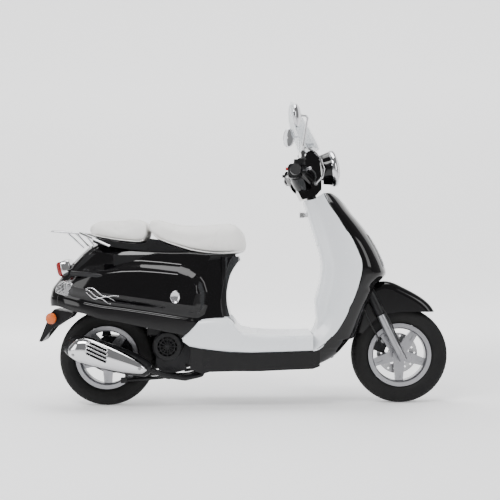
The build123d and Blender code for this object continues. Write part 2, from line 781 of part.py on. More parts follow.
horn_outline = fronts(
    (440, 905), (478, 850), (524, 790), (575, 720), (605, 660), (612, 600), (660, 600), (660, 905),
)
horn_half_width = 26
horn_hole = prism(horn_outline, -horn_half_width - gap, horn_half_width + gap)
shield_sheet = nose_sheet(shield_stations, panel)
with BuildPart() as leg_shield_outer:
    add(shield_sheet)
    with BuildSketch(along_y(front_axle_x, -104, axle_z + 4)):
        Circle(wheel_reach)
    extrude(amount=208, mode=Mode.SUBTRACT)
    with BuildSketch(along_y(front_axle_x - 60, -104, axle_z + 100)):
        Circle(wheel_reach - 24)
    extrude(amount=208, mode=Mode.SUBTRACT)
    add(light_right, mode=Mode.SUBTRACT)
    add(mirrored(light_right), mode=Mode.SUBTRACT)
    add(horn_hole, mode=Mode.SUBTRACT)
    add(over_neck, mode=Mode.SUBTRACT)
    # room for the fork legs and the crown to swing about the steering axis
    for low, high, reach in (
        (190, crown_distance + 1, 112.5), (crown_distance - 2, crown_distance + 29, 121),
    ):
        with BuildSketch(Plane(origin=on_steering(low), z_dir=fork_up)):
            Circle(reach)
        extrude(amount=high - low, mode=Mode.SUBTRACT)
save(biggest(leg_shield_outer.part), "leg_shield_outer")

light_band = nose_solid(shield_stations, 3, 1) - nose_solid(shield_stations, -14, 3)
light_lens = biggest(prism(light_outline, -150, -78) & light_band)
with BuildPart() as front_indicators:
    add(light_lens)
    add(mirrored(light_lens))
save(front_indicators.part, "front_indicators")

horn_band = nose_solid(shield_stations, 5, 1) - nose_solid(shield_stations, -8, 3)
with BuildPart() as horn_cover:
    add(biggest(prism(horn_outline, -horn_half_width, horn_half_width) & horn_band))
    for row in range(5):
        slot_x, slot_z = front(520 + 17 * row, 812 - 26 * row)
        with BuildSketch(Plane.YZ.offset(slot_x - 30)):
            with Locations((0, slot_z)):
                SlotOverall(34, 7)
        extrude(amount=140, mode=Mode.SUBTRACT)
save(biggest(horn_cover.part), "horn_cover")

column = [(260, 318), (338, 291), (356, 319), (383, 326), (429, 324), (465, 324), (497, 329), (533, 343),
          (579, 353), (638, 353), (683, 344), (724, 331), (770, 318), (816, 305), (866, 287), (907, 274),
          (916, 276), (949, 352)]  # fmt: skip
column_half, column_foot, column_depth = 76, 92, 55


def reading(table, z):
    """A value of a (z, value) table at that height, on straight lines between its rows."""
    for (z0, a), (z1, b) in zip(table, table[1:]):
        if z0 <= z <= z1:
            return a + (b - a) * (z - z0) / (z1 - z0)
    return table[0][1] if z < table[0][0] else table[-1][1]


edge_wide = [(z, wide) for (z, x), wide in zip(shield_edge, shield_wide)]


def inner_half(z, shrink):
    """The plan outline of the inner shield at that height, left half, front to back."""
    edge_x, wide = reading(shield_edge, z), reading(edge_wide, z) * shield_scale
    face_x = min(reading(column, z), edge_x - 12)
    shoulder_x = min(face_x + column_depth, edge_x - 6)
    narrow = min(1, max(0.55, (960 - z) / 260))
    return [
        (edge_x - 2.5 + front_shift + (9 if shrink else 0), wide - 1.5 - shrink),
        (edge_x - 8 + front_shift + shrink, wide - 2 - shrink),
        (shoulder_x + front_shift + shrink, column_foot * narrow - shrink * 0.6),
        (face_x + front_shift + shrink, column_half * narrow - shrink),
    ]


inner_levels = sorted({338, 930} | {z for z, x in shield_edge + column if 338 < z < 930})


def inner_solid(shrink):
    """The inner shield as a solid; its foot turns down to meet the floor board."""
    return stack([(z + lift, inner_half(z, shrink)) for z in inner_levels])


door_low, door_high, door_half = 509, 700, 60
bin_depth = 34
door_plane_x = front(356, 0)[0]
bin_block = slab(
    door_plane_x - 60, door_plane_x + bin_depth, -door_half - 7, door_half + 7, door_low - 8, door_high + 8,
)
bin_hollow = slab(
    door_plane_x - 80, door_plane_x + bin_depth - 3, -door_half - 1, door_half + 1, door_low - 1,
    door_high + 1,
)


def foot_half(z, shrink):
    """The plan outline of the shield's foot, ahead of the floor board's joint."""
    edge_x, wide = reading(shield_edge, max(z, 260)), reading(edge_wide, z) * shield_scale
    back_x = floor_joint - front_shift + gap
    return [
        (edge_x - 2.5 + front_shift + (9 if shrink else 0), wide - 1.5 - shrink),
        (edge_x - 8 + front_shift, wide - 2 - shrink),
        (back_x + front_shift - (9 if shrink else 0), wide - 2 - shrink),
    ]


def foot_solid(shrink):
    levels = [258, 300, 316, 346] if not shrink else [250, 300, 316, 346 - shrink]
    return stack([(z + lift, foot_half(z, shrink)) for z in levels])


inner_shell_outer, inner_shell_hollow = inner_solid(0), inner_solid(panel)
foot_outer, foot_hollow = foot_solid(0), foot_solid(panel)
inner_cap_cut = inner_shell_hollow.moved(Location((0, 0, 20))) & slab(0, 800, -300, 300, 915, 1000)
inner_base_cut = inner_shell_hollow.moved(Location((0, 0, -12))) & slab(0, 800, -300, 300, 300, 345)
key_x, key_z = front(297, 852)
key_y = 24
with BuildPart() as leg_shield_inner:
    add(inner_shell_outer)
    add(foot_outer)
    add(inner_shell_hollow, mode=Mode.SUBTRACT)
    add(inner_cap_cut, mode=Mode.SUBTRACT)
    add(inner_base_cut, mode=Mode.SUBTRACT)
    add(foot_hollow, mode=Mode.SUBTRACT)
    add(bin_block & inner_shell_outer)
    add(bin_hollow, mode=Mode.SUBTRACT)
    add(over_neck, mode=Mode.SUBTRACT)
    add(
        Solid.make_cylinder(9 + running, 90, Plane((key_x - 50, key_y, key_z), z_dir=(1, 0, 0))),
        mode=Mode.SUBTRACT,
    )
save(biggest(leg_shield_inner.part), "leg_shield_inner")

door_thick = 4
door_face_x = door_plane_x - 14
with BuildPart() as glovebox_door:
    with BuildSketch(Plane.YZ.offset(door_face_x)):
        with Locations((0, (door_low + door_high) / 2 + lift)):
            RectangleRounded(2 * (door_half - 1), door_high - door_low - 2, 8)
    extrude(amount=door_thick)
    with BuildSketch(Plane.YZ.offset(door_face_x)):
        with Locations((0, door_high - 16 + lift)):
            Circle(9)
    extrude(amount=-5)
    add(Solid.make_cylinder(
        4, 2 * door_half - 8, Plane((door_face_x + 4, -door_half + 4, door_low + 6 + lift), z_dir=(0, 1, 0)),
    ))
save(glovebox_door.part, "glovebox_door")

# ================================================================ engine unit
fan_x, fan_z = rear(-334, 277)
pulley_x, pulley_z = rear(-330, 232)
case_outline = rears((-392, 190), (-392, 262), (-372, 300), (-300, 322), (-262, 306), (-236, 262), (-232, 214),
                     (-262, 162), (-320, 150), (-372, 160))  # fmt: skip
case_low_y, case_high_y = -84, 54
stand_x, stand_z = rear(-338, 132)
with BuildPart() as crankcase:
    add(prism(case_outline, case_low_y, case_high_y))
    add(
        prism(
            case_outline, case_low_y + 9, case_high_y - 9, 10,
        ) & slab(-900, pivot_x - 34, -200, 200, 0, 500),
        mode=Mode.SUBTRACT,
    )
    fillet(crankcase.edges().filter_by(Axis.Y), radius=5)
    for y in (-50, 50):
        add(Solid.make_cylinder(17, 14, Plane((pivot_x, y - 7, pivot_z), z_dir=(0, 1, 0))))
    add(prism(
        [
            (stand_x - 14, stand_z - 14), (stand_x + 14, stand_z - 14), (stand_x + 20, stand_z + 30),
            (stand_x - 20, stand_z + 30),
        ],
        -44, 44,
    ))
    for x in (-60, -30, 0, 30):
        with BuildSketch(side.offset(-case_low_y)):
            with Locations((fan_x + x + 18, 168 + lift)):
                Circle(5)
        extrude(amount=3)
    with BuildSketch(along_y(fan_x, case_low_y - 20, fan_z)):
        Circle(52)
        Circle(9 + running, mode=Mode.SUBTRACT)
    extrude(amount=21)
    add(Solid.make_cylinder(9, 48, Plane((fan_x, case_low_y + 2, fan_z), z_dir=(0, -1, 0))))
    add(
        Solid.make_cylinder(axle_radius + running, 180, Plane((pivot_x, -90, pivot_z), z_dir=(0, 1, 0))),
        mode=Mode.SUBTRACT,
    )
    add(
        Solid.make_cylinder(axle_radius + 1 + running, 120, Plane((stand_x, -60, stand_z), z_dir=(0, 1, 0))),
        mode=Mode.SUBTRACT,
    )
    for y in (-64, 64):
        add(slab(pivot_x - 24, pivot_x + 60, y - 5, y + 5, pivot_z - 26, pivot_z + 50), mode=Mode.SUBTRACT)
    add(slab(pivot_x - 28, pivot_x + 60, -42, 42, pivot_z - 44, pivot_z + 24), mode=Mode.SUBTRACT)
save(biggest(crankcase.part), "crankcase")

cylinder_z = 262 + lift
with BuildPart() as cylinder:
    with BuildSketch(Plane.YZ.offset(rear(-228, 0)[0])):
        with Locations((-8, cylinder_z)):
            RectangleRounded(74, 70, 10)
    extrude(amount=76)
    for n in range(6):
        with BuildSketch(Plane.YZ.offset(rear(-222, 0)[0] + 9 * n)):
            with Locations((-8, cylinder_z)):
                RectangleRounded(98, 84, 12)
        extrude(amount=3.5)
    with BuildSketch(Plane.YZ.offset(rear(-166, 0)[0])):
        with Locations((-8, cylinder_z)):
            RectangleRounded(88, 80, 14)
    extrude(amount=30)
    with BuildSketch(Plane.XY.offset(cylinder_z)):
        with Locations((rear(-176, 0)[0], -32)):
            Circle(15)
    extrude(amount=-44)
save(cylinder.part, "cylinder")

shroud_radius, grille_radius = 66, 43
shroud_low, shroud_high = -166, -86
with BuildPart() as fan_cover:
    with BuildSketch(along_y(fan_x, shroud_low, fan_z)):
        Circle(shroud_radius)
    extrude(amount=shroud_high - shroud_low)
    chamfer(fan_cover.faces().sort_by(Axis.Y)[0].edges(), length=7)
    with BuildSketch(along_y(fan_x, shroud_low + 4, fan_z)):
        Circle(shroud_radius - 5)
    extrude(amount=shroud_high - shroud_low, mode=Mode.SUBTRACT)
    with BuildSketch(along_y(fan_x, shroud_low - 1, fan_z)):
        Circle(grille_radius)
    extrude(amount=8, mode=Mode.SUBTRACT)
    with BuildSketch(along_y(fan_x, shroud_low, fan_z)):
        for ring in (13, 23, 33):
            Circle(ring + 2)
            Circle(ring - 2, mode=Mode.SUBTRACT)
        Circle(8)
        with PolarLocations(0, 12):
            with Locations((grille_radius / 2 + 2, 0)):
                Rectangle(grille_radius, 3)
    extrude(amount=4)
    add(slab(
        fan_x - 10, rear(-232, 0)[0], -150, shroud_high, fan_z + 30, fan_z + 64,
    ) & Solid.make_cylinder(160, 80, Plane((fan_x, shroud_high, fan_z), z_dir=(0, -1, 0))))
    add(
        Solid.make_cylinder(shroud_radius - 5, 76, Plane((fan_x, shroud_low + 4, fan_z), z_dir=(0, 1, 0))),
        mode=Mode.SUBTRACT,
    )
save(biggest(fan_cover.part), "fan_cover")

with BuildPart() as cooling_fan:
    with BuildSketch(along_y(fan_x, -150, fan_z)):
        Circle(18)
        Circle(9 + running, mode=Mode.SUBTRACT)
    extrude(amount=42)
    with BuildSketch(along_y(fan_x, -118, fan_z)):
        Circle(50)
        Circle(17, mode=Mode.SUBTRACT)
    extrude(amount=4)
    with BuildSketch(along_y(fan_x, -142, fan_z)):
        with PolarLocations(34, 12):
            Rectangle(28, 3, rotation=28)
    extrude(amount=25)
save(biggest(cooling_fan.part), "cooling_fan")

cvt_low_y, cvt_high_y = 56, 150
kick_x, kick_z = rear(-392, 196)
cvt_outline = rears((-268, 240), (-286, 296), (-330, 322), (-385, 316), (-560, 300), (-640, 308), (-694, 276),
                    # fmt: skip
                    (-706, 216), (-684, 158), (-630, 132), (-560, 140), (-400, 152), (-320, 152), (-276, 184))
shock_foot = rear(-640, 326)
with BuildPart() as cvt_cover:
    add(prism(cvt_outline, cvt_low_y, cvt_high_y))
    fillet(cvt_cover.edges().filter_by(Axis.Y), radius=12)
    chamfer(cvt_cover.faces().sort_by(Axis.Y)[-1].edges(), length=9)
    add(prism(cvt_outline, cvt_low_y + 7, cvt_high_y - 7, 15), mode=Mode.SUBTRACT)
    add(Solid.make_cylinder(52, 5, Plane((pulley_x, cvt_high_y - 1, pulley_z), z_dir=(0, 1, 0))))
    add(Solid.make_cylinder(60, 5, Plane((rear_axle_x, cvt_high_y - 1, axle_z), z_dir=(0, 1, 0))))
    for n in range(5):
        with BuildSketch(side.offset(-cvt_high_y - 4)):
            with Locations(rear(-400 - 26 * n, 262)):
                SlotOverall(54, 6, rotation=70)
        extrude(amount=5)
    add(Solid.make_cylinder(rear_shaft_radius, 56 + 62, Plane((rear_axle_x, 57, axle_z), z_dir=(0, -1, 0))))
    add(Solid.make_cylinder(14, 10, Plane((rear_axle_x, -50, axle_z), z_dir=(0, -1, 0))))
    add(Solid.make_cylinder(9, 22, Plane((kick_x, cvt_high_y - 2, kick_z), z_dir=(0, 1, 0))))
    add(prism(rears((-664, 300), (-616, 300), (-628, 340), (-652, 340)), shock_y - 22, shock_y - 16))
save(biggest(cvt_cover.part), "cvt_cover")

with BuildPart() as kick_lever:
    with BuildSketch(along_y(kick_x, cvt_high_y + 5, kick_z)):
        Circle(17)
    extrude(amount=13)
    add(prism(
        [
            (kick_x - 4, kick_z - 11), (kick_x - 4, kick_z + 11), (kick_x - 168, kick_z + 52),
            (kick_x - 168, kick_z + 36),
        ],
        cvt_high_y + 9, cvt_high_y + 18,
    ))
    add(Solid.make_cylinder(9, 62, Plane((kick_x - 160, cvt_high_y + 9, kick_z + 44), z_dir=(0, 1, 0))))
    with BuildSketch(along_y(kick_x, cvt_high_y - 4, kick_z)):
        Circle(9 + running)
    extrude(amount=40, mode=Mode.SUBTRACT)
save(kick_lever.part, "kick_lever")

# ---------------------------------------------------------------- exhaust
can_y = -146
can_line = rears(
    (-410, 176), (-424, 178), (-480, 197), (-560, 222), (-650, 250), (-724, 272), (-764, 283), (-776, 286),
)
can_radius = [24, 36, 49, 57, 61, 57, 40, 30]


def can_solid(grow, first, last):
    """The silencer's round sections grown outwards, from one station to another."""
    tilt = (can_line[-1][0] - can_line[0][0], can_line[-1][1] - can_line[0][1])
    with BuildPart(mode=Mode.PRIVATE) as solid:
        for (x, z), radius in list(zip(can_line, can_radius))[first:last]:
            with BuildSketch(Plane(origin=(x, can_y, z), x_dir=(0, 1, 0), z_dir=(tilt[0], 0, tilt[1]))):
                Circle(radius + grow)
        loft(ruled=True)
    return solid.part


pipe = tube_path(
    [
        (rear(-176, 0)[0], -32, cylinder_z - 45),
        (rear(-176, 0)[0], -32, 184 + lift),
        (rear(-190, 0)[0], -104, 146 + lift),
        (rear(-260, 0)[0], -132, 134 + lift),
        at(rear(-340, 148), can_y),
        at(rear(-424, 178), can_y),
    ],
    12,
    16,
)
can_outer = can_solid(0, 0, 8)
with BuildPart() as exhaust:
    add(can_outer)
    add(pipe)
    add(can_solid(-2.5, 1, 7), mode=Mode.SUBTRACT)
    add(prism(
        rears(
            (-643, 318), (-560, 300), (-520, 292), (-400, 262), (-392, 236), (-420, 214), (-560, 250),
            (-640, 290),
        ),
        -94, -86,
    ))
    tail_x, tail_z = rear(-772, 258)
    add(Solid.make_cylinder(11, 34, Plane((tail_x + 14, can_y + 12, tail_z + 8), z_dir=(-1, 0, 0.1))))
save(biggest(exhaust.part), "exhaust")

shield_cut = slab(-1000, 0, -300, -176, 0, 500)
shield_skin = (can_solid(9, 1, 7) - can_solid(6.5, 1, 7)) & shield_cut
with BuildPart() as heat_shield:
    add(biggest(shield_skin))
    for n in range(6):
        slot_x, slot_z = rear(-700 + 42 * n, 268 - 12 * n)
        with BuildSketch(side.offset(300)):
            with Locations((slot_x, slot_z)):
                SlotOverall(44, 8, rotation=58)
        extrude(amount=-200, mode=Mode.SUBTRACT)
save(biggest(heat_shield.part), "heat_shield")

# ---------------------------------------------------------------- shock absorber, left side
shock_span = hypot(shock_top[0] - shock_foot[0], shock_top[1] - shock_foot[1])
shock_up = Vector(shock_top[0] - shock_foot[0], 0, shock_top[1] - shock_foot[1]).normalized()
foot_point = Vector(shock_foot[0], shock_y, shock_foot[1])
top_point = Vector(shock_top[0], shock_y, shock_top[1])
eye_radius, damper_radius, shock_rod_radius = 15, 15, 6


def eye(point):
    return Solid.make_cylinder(eye_radius, 20, Plane(point - Vector(0, 10, 0), z_dir=(0, 1, 0)))


def eye_hole(point):
    return Solid.make_cylinder(axle_radius + running, 40, Plane(point - Vector(0, 20, 0), z_dir=(0, 1, 0)))


body_length = shock_span * 0.48
with BuildPart() as shock_body:
    add(eye(foot_point))
    add(Solid.make_cylinder(damper_radius, body_length, Plane(foot_point + shock_up * 6, z_dir=shock_up)))
    add(Solid.make_cylinder(27, 5, Plane(foot_point + shock_up * 34, z_dir=shock_up)))
    add(
        Solid.make_cylinder(
            shock_rod_radius + running, body_length, Plane(foot_point + shock_up * 24, z_dir=shock_up),
        ),
        mode=Mode.SUBTRACT,
    )
    add(eye_hole(foot_point), mode=Mode.SUBTRACT)
save(shock_body.part, "shock_body")

with BuildPart() as shock_rod:
    add(eye(top_point))
    rod_start = foot_point + shock_up * 70
    add(Solid.make_cylinder(
        shock_rod_radius, (top_point - rod_start).length - 4, Plane(rod_start, z_dir=shock_up),
    ))
    add(Solid.make_cylinder(27, 5, Plane(top_point - shock_up * 27, z_dir=shock_up)))
    add(eye_hole(top_point), mode=Mode.SUBTRACT)
save(shock_rod.part, "shock_rod")

spring_length = shock_span - 34 - 5 - 27 - 0.6
spring_wire, spring_radius, spring_turns = 3.6, 21.5, 7
spring_start = foot_point + shock_up * (39.3 + spring_wire)
spring_rise = spring_length - 2 * spring_wire
with BuildPart() as shock_spring:
    with BuildLine() as coil:
        Helix(spring_rise / spring_turns, spring_rise, spring_radius, center=spring_start, direction=shock_up)
    with BuildSketch(Plane(origin=coil.line @ 0, z_dir=coil.line % 0)):
        Circle(spring_wire)
    sweep()
save(shock_spring.part, "shock_spring")

# ---------------------------------------------------------------- stands
stand_y, stand_length = 66, 196
stand_back = radians(-4)  # folded legs point back, this much below level
leg = Vector(-cos(stand_back), 0, sin(stand_back))
pivot = Vector(stand_x, 0, stand_z)
leg_left = tube_path(
    [
        tuple(pivot + Vector(0, 54, 0)),
        tuple(pivot + leg * 40 + Vector(0, stand_y, 0)),
        tuple(pivot + leg * stand_length + Vector(0, stand_y + 2, 0)),
    ],
    8,
    10,
)
with BuildPart() as centre_stand:
    add(leg_left)
    add(mirrored(leg_left))
    for y in (-60, 46):
        add(Solid.make_cylinder(13, 14, Plane((stand_x, y, stand_z), z_dir=(0, 1, 0))))
    add(Solid.make_cylinder(axle_radius + 1, 120, Plane((stand_x, -60, stand_z), z_dir=(0, 1, 0))))
    for y in (-stand_y - 2, stand_y + 2):
        foot = pivot + leg * stand_length + Vector(0, y, 0)
        add(slab(foot.X - 18, foot.X + 10, y - 9, y + 9, foot.Z - 12, foot.Z + 12))
    lever = pivot + leg * 120
    add(rod((lever.X, stand_y + 2, lever.Z), (lever.X - 8, 150, lever.Z + 2), 6))
save(biggest(centre_stand.part), "centre_stand")

with BuildPart() as side_stand:
    add(Solid.make_cylinder(14, 12, Plane((side_x, side_y - 6, side_z), z_dir=(0, 1, 0))))
    add(rod((side_x, side_y, side_z), (side_x - 140, side_y + 12, side_z - 58), 8))
    add(rod((side_x - 134, side_y + 11, side_z - 56), (side_x - 186, side_y + 34, side_z - 66), 8))
    add(
        Solid.make_cylinder(5 + running, 30, Plane((side_x, side_y - 15, side_z), z_dir=(0, 1, 0))),
        mode=Mode.SUBTRACT,
    )
save(biggest(side_stand.part), "side_stand")

# ================================================================ seats
pad_outline = rears((15, 700), (17, 712), (15, 727), (4, 755), (-14, 787), (-36, 807), (-59, 811), (-105, 808),
                    (-150, 804), (-196, 801), (-241, 801), (-286, 806), (-332, 817), (-377, 829), (-405, 834),
                    (-423, 827), (-419, 800), (-408, 774), (-386, 752), (-364, 737), (-320, 719), (-277, 705),
                    # fmt: skip
                    (-233, 691), (-189, 682), (-145, 676), (-101, 673), (-57, 674), (-13, 679), (3, 686))
pillion_outline = rears((-424, 824), (-428, 826), (-455, 833), (-543, 831), (-632, 828), (-676, 824), (-685, 809),
                        (
                            -681, 786,
                        ), (-668, 762), (-588, 742), (-500, 731), (-456, 729), (-435, 736), (-426, 756),
                        (-424, 790))  # fmt: skip
pillion_half = 118


def cushion(outline, half_width, edge):
    """A closed cushion: the outline pulled across and rounded along its sides."""
    with BuildPart(mode=Mode.PRIVATE) as solid:
        with BuildSketch(side.offset(-half_width)):
            with BuildLine():
                Polyline(*outline, close=True)
            make_face()
        extrude(amount=2 * half_width)
        chamfer(solid.faces().sort_by(Axis.Y)[0].edges(), length=edge)
        chamfer(solid.faces().sort_by(Axis.Y)[-1].edges(), length=edge)
    return solid.part


with BuildPart() as rider_seat:
    add(cushion(pad_outline, seat_half_width, 5))
save(rider_seat.part, "rider_seat")

with BuildPart() as passenger_seat:
    add(cushion(pillion_outline, pillion_half, 5))
save(passenger_seat.part, "passenger_seat")

base_outline = rears((-60, 669.2), (-101, 668.5), (-189, 670), (-218, 672), (-262, 685), (-320, 688), (-407, 693),
                     (-495, 702), (-574, 714), (-639, 727), (-662, 736), (-664, 756), (
                         -588, 741.2,
                     ), (-500, 730),
                     (-456, 728), (-430, 732), (-408, 750), (-386, 747), (-364, 735), (
                         -320, 717.5,
                     ), (-277, 704),
                     (-233, 689.6), (-189, 681), (-145, 675), (-101, 672.3), (-60, 673.1))  # fmt: skip
with BuildPart() as seat_base:
    add(prism(base_outline, -126, 126))
    add(slab(seat_hinge[0] - 40, seat_hinge[0], -30, 30, seat_hinge[1] + 8, seat_hinge[1] + 17.5))
    add(Solid.make_cylinder(9, 60, Plane((seat_hinge[0], -30, seat_hinge[1]), z_dir=(0, 1, 0))))
    add(Solid.make_cylinder(5, 98, Plane((seat_hinge[0], -49, seat_hinge[1]), z_dir=(0, 1, 0))))
    add(prism(rears((-560, 712), (-580, 715), (-578, 690), (-566, 690)), -5, 5))
    add(slab(filler_x - 36, filler_x + 36, -36, 36, filler_z - 20, filler_z + 27), mode=Mode.SUBTRACT)
save(biggest(seat_base.part), "seat_base")

# ================================================================ handlebar group
bar_centre = on_steering(835)
clamp_plane = Plane(origin=on_steering(head_high + 24), z_dir=fork_up)
grip_x, grip_z = front(224, 1031)
grip_start_y = 222
bar_half = tube_path(
    [
        (bar_centre.X, 0, bar_centre.Z),
        (bar_centre.X, 60, bar_centre.Z),
        (grip_x, 150, grip_z),
        (grip_x, handlebar_half_width - 2, grip_z),
    ],
    bar_radius,
    20,
)
with BuildPart() as handlebar:
    add(bar_half)
    add(mirrored(bar_half))
    with BuildSketch(clamp_plane):
        Circle(22)
    extrude(amount=835 - head_high - 24 - 8)
    with BuildSketch(clamp_plane):
        Circle(stem_radius + running)
    extrude(amount=stem_top - head_high - 24 + 1, mode=Mode.SUBTRACT)
save(handlebar.part, "handlebar")


def grip(low_y, high_y, hollow):
    """A ribbed rubber grip with an end flange, around the bar."""
    inner, outer = min(abs(low_y), abs(high_y)), max(abs(low_y), abs(high_y))
    hand = 1 if high_y > 0 else -1
    with BuildPart(mode=Mode.PRIVATE) as solid:
        add(Solid.make_cylinder(
            grip_radius, outer - inner, Plane((grip_x, hand * inner, grip_z), z_dir=(0, hand, 0)),
        ))
        add(Solid.make_cylinder(24, 5, Plane((grip_x, hand * inner, grip_z), z_dir=(0, hand, 0))))
        add(Solid.make_cylinder(23, 9, Plane((grip_x, hand * (outer - 9), grip_z), z_dir=(0, hand, 0))))
        if hollow:
            reach = handlebar_half_width - inner + 1
            bore = Solid.make_cylinder(
                bar_radius + hollow, reach, Plane((grip_x, hand * (inner - 1), grip_z), z_dir=(0, hand, 0)),
            )
            add(bore, mode=Mode.SUBTRACT)
    return solid.part


housing_y = (176, 218)
with BuildPart() as left_grip:
    add(grip(grip_start_y, handlebar_half_width + 4, running))
save(left_grip.part, "left_grip")
with BuildPart() as throttle_grip:
    add(grip(-handlebar_half_width - 4, -grip_start_y, running))
save(throttle_grip.part, "throttle_grip")

lever_x, lever_z = grip_x + 46, grip_z + 8
lever_pivot_y = 196
button_radius = 7


def housing(hand):
    """The switch housing and lever perch around the bar on one side."""
    low, high = sorted((hand * housing_y[0], hand * housing_y[1]))
    with BuildPart(mode=Mode.PRIVATE) as solid:
        with BuildSketch(along_y(grip_x + 2, low, grip_z + 4)):
            RectangleRounded(56, 62, 14)
        extrude(amount=high - low)
        add(slab(lever_x - 24, lever_x + 14, hand * 196 - 16, hand * 196 + 16, lever_z - 13, lever_z - 5))
        add(slab(lever_x - 24, lever_x + 14, hand * 196 - 16, hand * 196 + 16, lever_z + 5, lever_z + 13))
        add(slab(lever_x - 28, lever_x - 14, hand * 196 - 16, hand * 196 + 16, lever_z - 13, lever_z + 13))
        add(Solid.make_cylinder(5, 26, Plane((lever_x, hand * lever_pivot_y, lever_z - 13))))
        with BuildSketch(Plane.XY.offset(grip_z + 30)):
            with Locations((grip_x + 24, hand * 198)):
                RectangleRounded(48, 36, 8)
        extrude(amount=24)
        add(Solid.make_cylinder(8, 14, Plane((grip_x + 40, hand * 198, grip_z + 53))))
        bore = Solid.make_cylinder(
            bar_radius + 9, 90, Plane((grip_x, hand * 218 - hand * 70, grip_z), z_dir=(0, hand, 0)),
        )
        add(bore & slab(grip_x - 60, grip_x + 60, -400, 400, grip_z - 60, grip_z + 60), mode=Mode.SUBTRACT)
        add(
            Solid.make_cylinder(5 + running, 14, Plane((grip_x + 40, hand * 198, grip_z + 55))),
            mode=Mode.SUBTRACT,
        )
        hole = Plane((grip_x - 40, hand * 197, grip_z + 14), z_dir=(1, 0, 0))
        add(Solid.make_cylinder(button_radius + running, 26, hole), mode=Mode.SUBTRACT)
    return biggest(solid.part)


housing_left, housing_right = housing(1), housing(-1)
with BuildPart() as control_housings:
    add(housing_left)
    add(housing_right)
save(control_housings.part, "control_housings")


def button(hand):
    """A push button in the rear face of a housing."""
    face = Plane((grip_x - 36, hand * 197, grip_z + 14), z_dir=(1, 0, 0))
    return Solid.make_cylinder(button_radius, 16, face)


with BuildPart() as starter_button:
    add(button(-1))
save(starter_button.part, "starter_button")
with BuildPart() as horn_button:
    add(button(1))
save(horn_button.part, "horn_button")


def lever_solid(hand):
    """A brake lever from its perch to a ball end ahead of the grip."""
    points = [
        (lever_x + 2, hand * (lever_pivot_y + 4), lever_z),
        (lever_x + 10, hand * 240, lever_z),
        (lever_x + 6, hand * 290, lever_z - 2),
        (lever_x + 14, hand * 352, lever_z - 6),
    ]
    arm = tube_path(points, 5, 30)
    with BuildPart(mode=Mode.PRIVATE) as solid:
        add(Solid.make_cylinder(12, 8, Plane((lever_x, hand * lever_pivot_y, lever_z - 4))))
        add(arm)
        add(Solid.make_sphere(7, Plane(points[-1])))
        trim = slab(lever_x - 20, lever_x + 16, hand * 196 - 17, hand * 196 + 17, lever_z + 4.5, lever_z + 14)
        add(trim, mode=Mode.SUBTRACT)
        low_trim = slab(
            lever_x - 20, lever_x + 16, hand * 196 - 17, hand * 196 + 17, lever_z - 14, lever_z - 4.5,
        )
        add(low_trim, mode=Mode.SUBTRACT)
        add(
            Solid.make_cylinder(5 + running, 20, Plane((lever_x, hand * lever_pivot_y, lever_z - 10))),
            mode=Mode.SUBTRACT,
        )
    return biggest(solid.part)


lever_left, lever_right = lever_solid(1), lever_solid(-1)
save(lever_left, "brake_lever_left")
save(lever_right, "brake_lever_right")

mirror_x, mirror_y, mirror_z = front(232, 0)[0], 372, 1250 + lift
stem_base = (grip_x + 40, 198, grip_z + 56)
mirror_turn = {1: 30, -1: 14}


def mirror_solid(hand):
    """A round mirror on a bent stem; its glass looks back and a little inwards."""
    look = Vector(-cos(radians(mirror_turn[hand])), -hand * sin(radians(mirror_turn[hand])), 0)
    centre = Vector(mirror_x, hand * mirror_y, mirror_z)
    stem = tube_path(
        [
            (stem_base[0], hand * stem_base[1], stem_base[2]),
            (stem_base[0], hand * stem_base[1], stem_base[2] + 50),
            (stem_base[0] + 14, hand * (mirror_y - 40), mirror_z + 2),
            tuple(centre - look * 12),
        ],
        4.5,
        20,
    )
    with BuildPart(mode=Mode.PRIVATE) as solid:
        add(stem)
        add(Solid.make_cylinder(7, 7, Plane((stem_base[0], hand * stem_base[1], stem_base[2] + 12))))
        with BuildSketch(Plane(centre - look * 14, z_dir=look)):
            Circle(30)
        with BuildSketch(Plane(centre, z_dir=look)):
            Circle(48.5)
        loft()
        with BuildSketch(Plane(centre, z_dir=look)):
            Circle(48.5)
        extrude(amount=6)
    return solid.part


save(mirror_solid(1), "mirror_left")
save(mirror_solid(-1), "mirror_right")

# ---------------------------------------------------------------- headset, lamp and screen
headset_outline = fronts((214, 1018), (205, 1032), (214, 1062), (232, 1088), (253, 1103), (280, 1110), (292, 1132),
                         (
                             317, 1138,
                         ), (335, 1124), (346, 1080), (352, 1020), (352, 962), (329, 936), (297, 924),
                         (265, 917))  # fmt: skip
headset_half = 88
neck_y = 172


def headset_solid(shrink):
    """The cover around the middle of the bar, with an arm out to each housing."""
    with BuildPart(mode=Mode.PRIVATE) as solid:
        add(prism(headset_outline, -headset_half + shrink, headset_half - shrink, shrink))
        for hand in (1, -1):
            with BuildSketch(Plane(
                (bar_centre.X - 34, hand * (headset_half - shrink - 2), 992 + lift), x_dir=(1, 0, 0),
                z_dir=(0, hand, 0),
            )):
                Ellipse(46 - shrink, 44 - shrink)
            with BuildSketch(Plane(
                (grip_x + 8, hand * (neck_y + (2 if shrink else 0)), grip_z), x_dir=(1, 0, 0),
                z_dir=(0, hand, 0),
            )):
                Circle(32 - shrink)
            loft()
    return solid.part


with BuildPart() as headset_cover:
    add(headset_solid(0))
    add(headset_solid(3), mode=Mode.SUBTRACT)
    add(Solid.make_cylinder(28, 160, Plane(on_steering(head_high + 50), z_dir=fork_up)), mode=Mode.SUBTRACT)
    add(under_neck, mode=Mode.SUBTRACT)
save(biggest(headset_cover.part), "headset_cover")

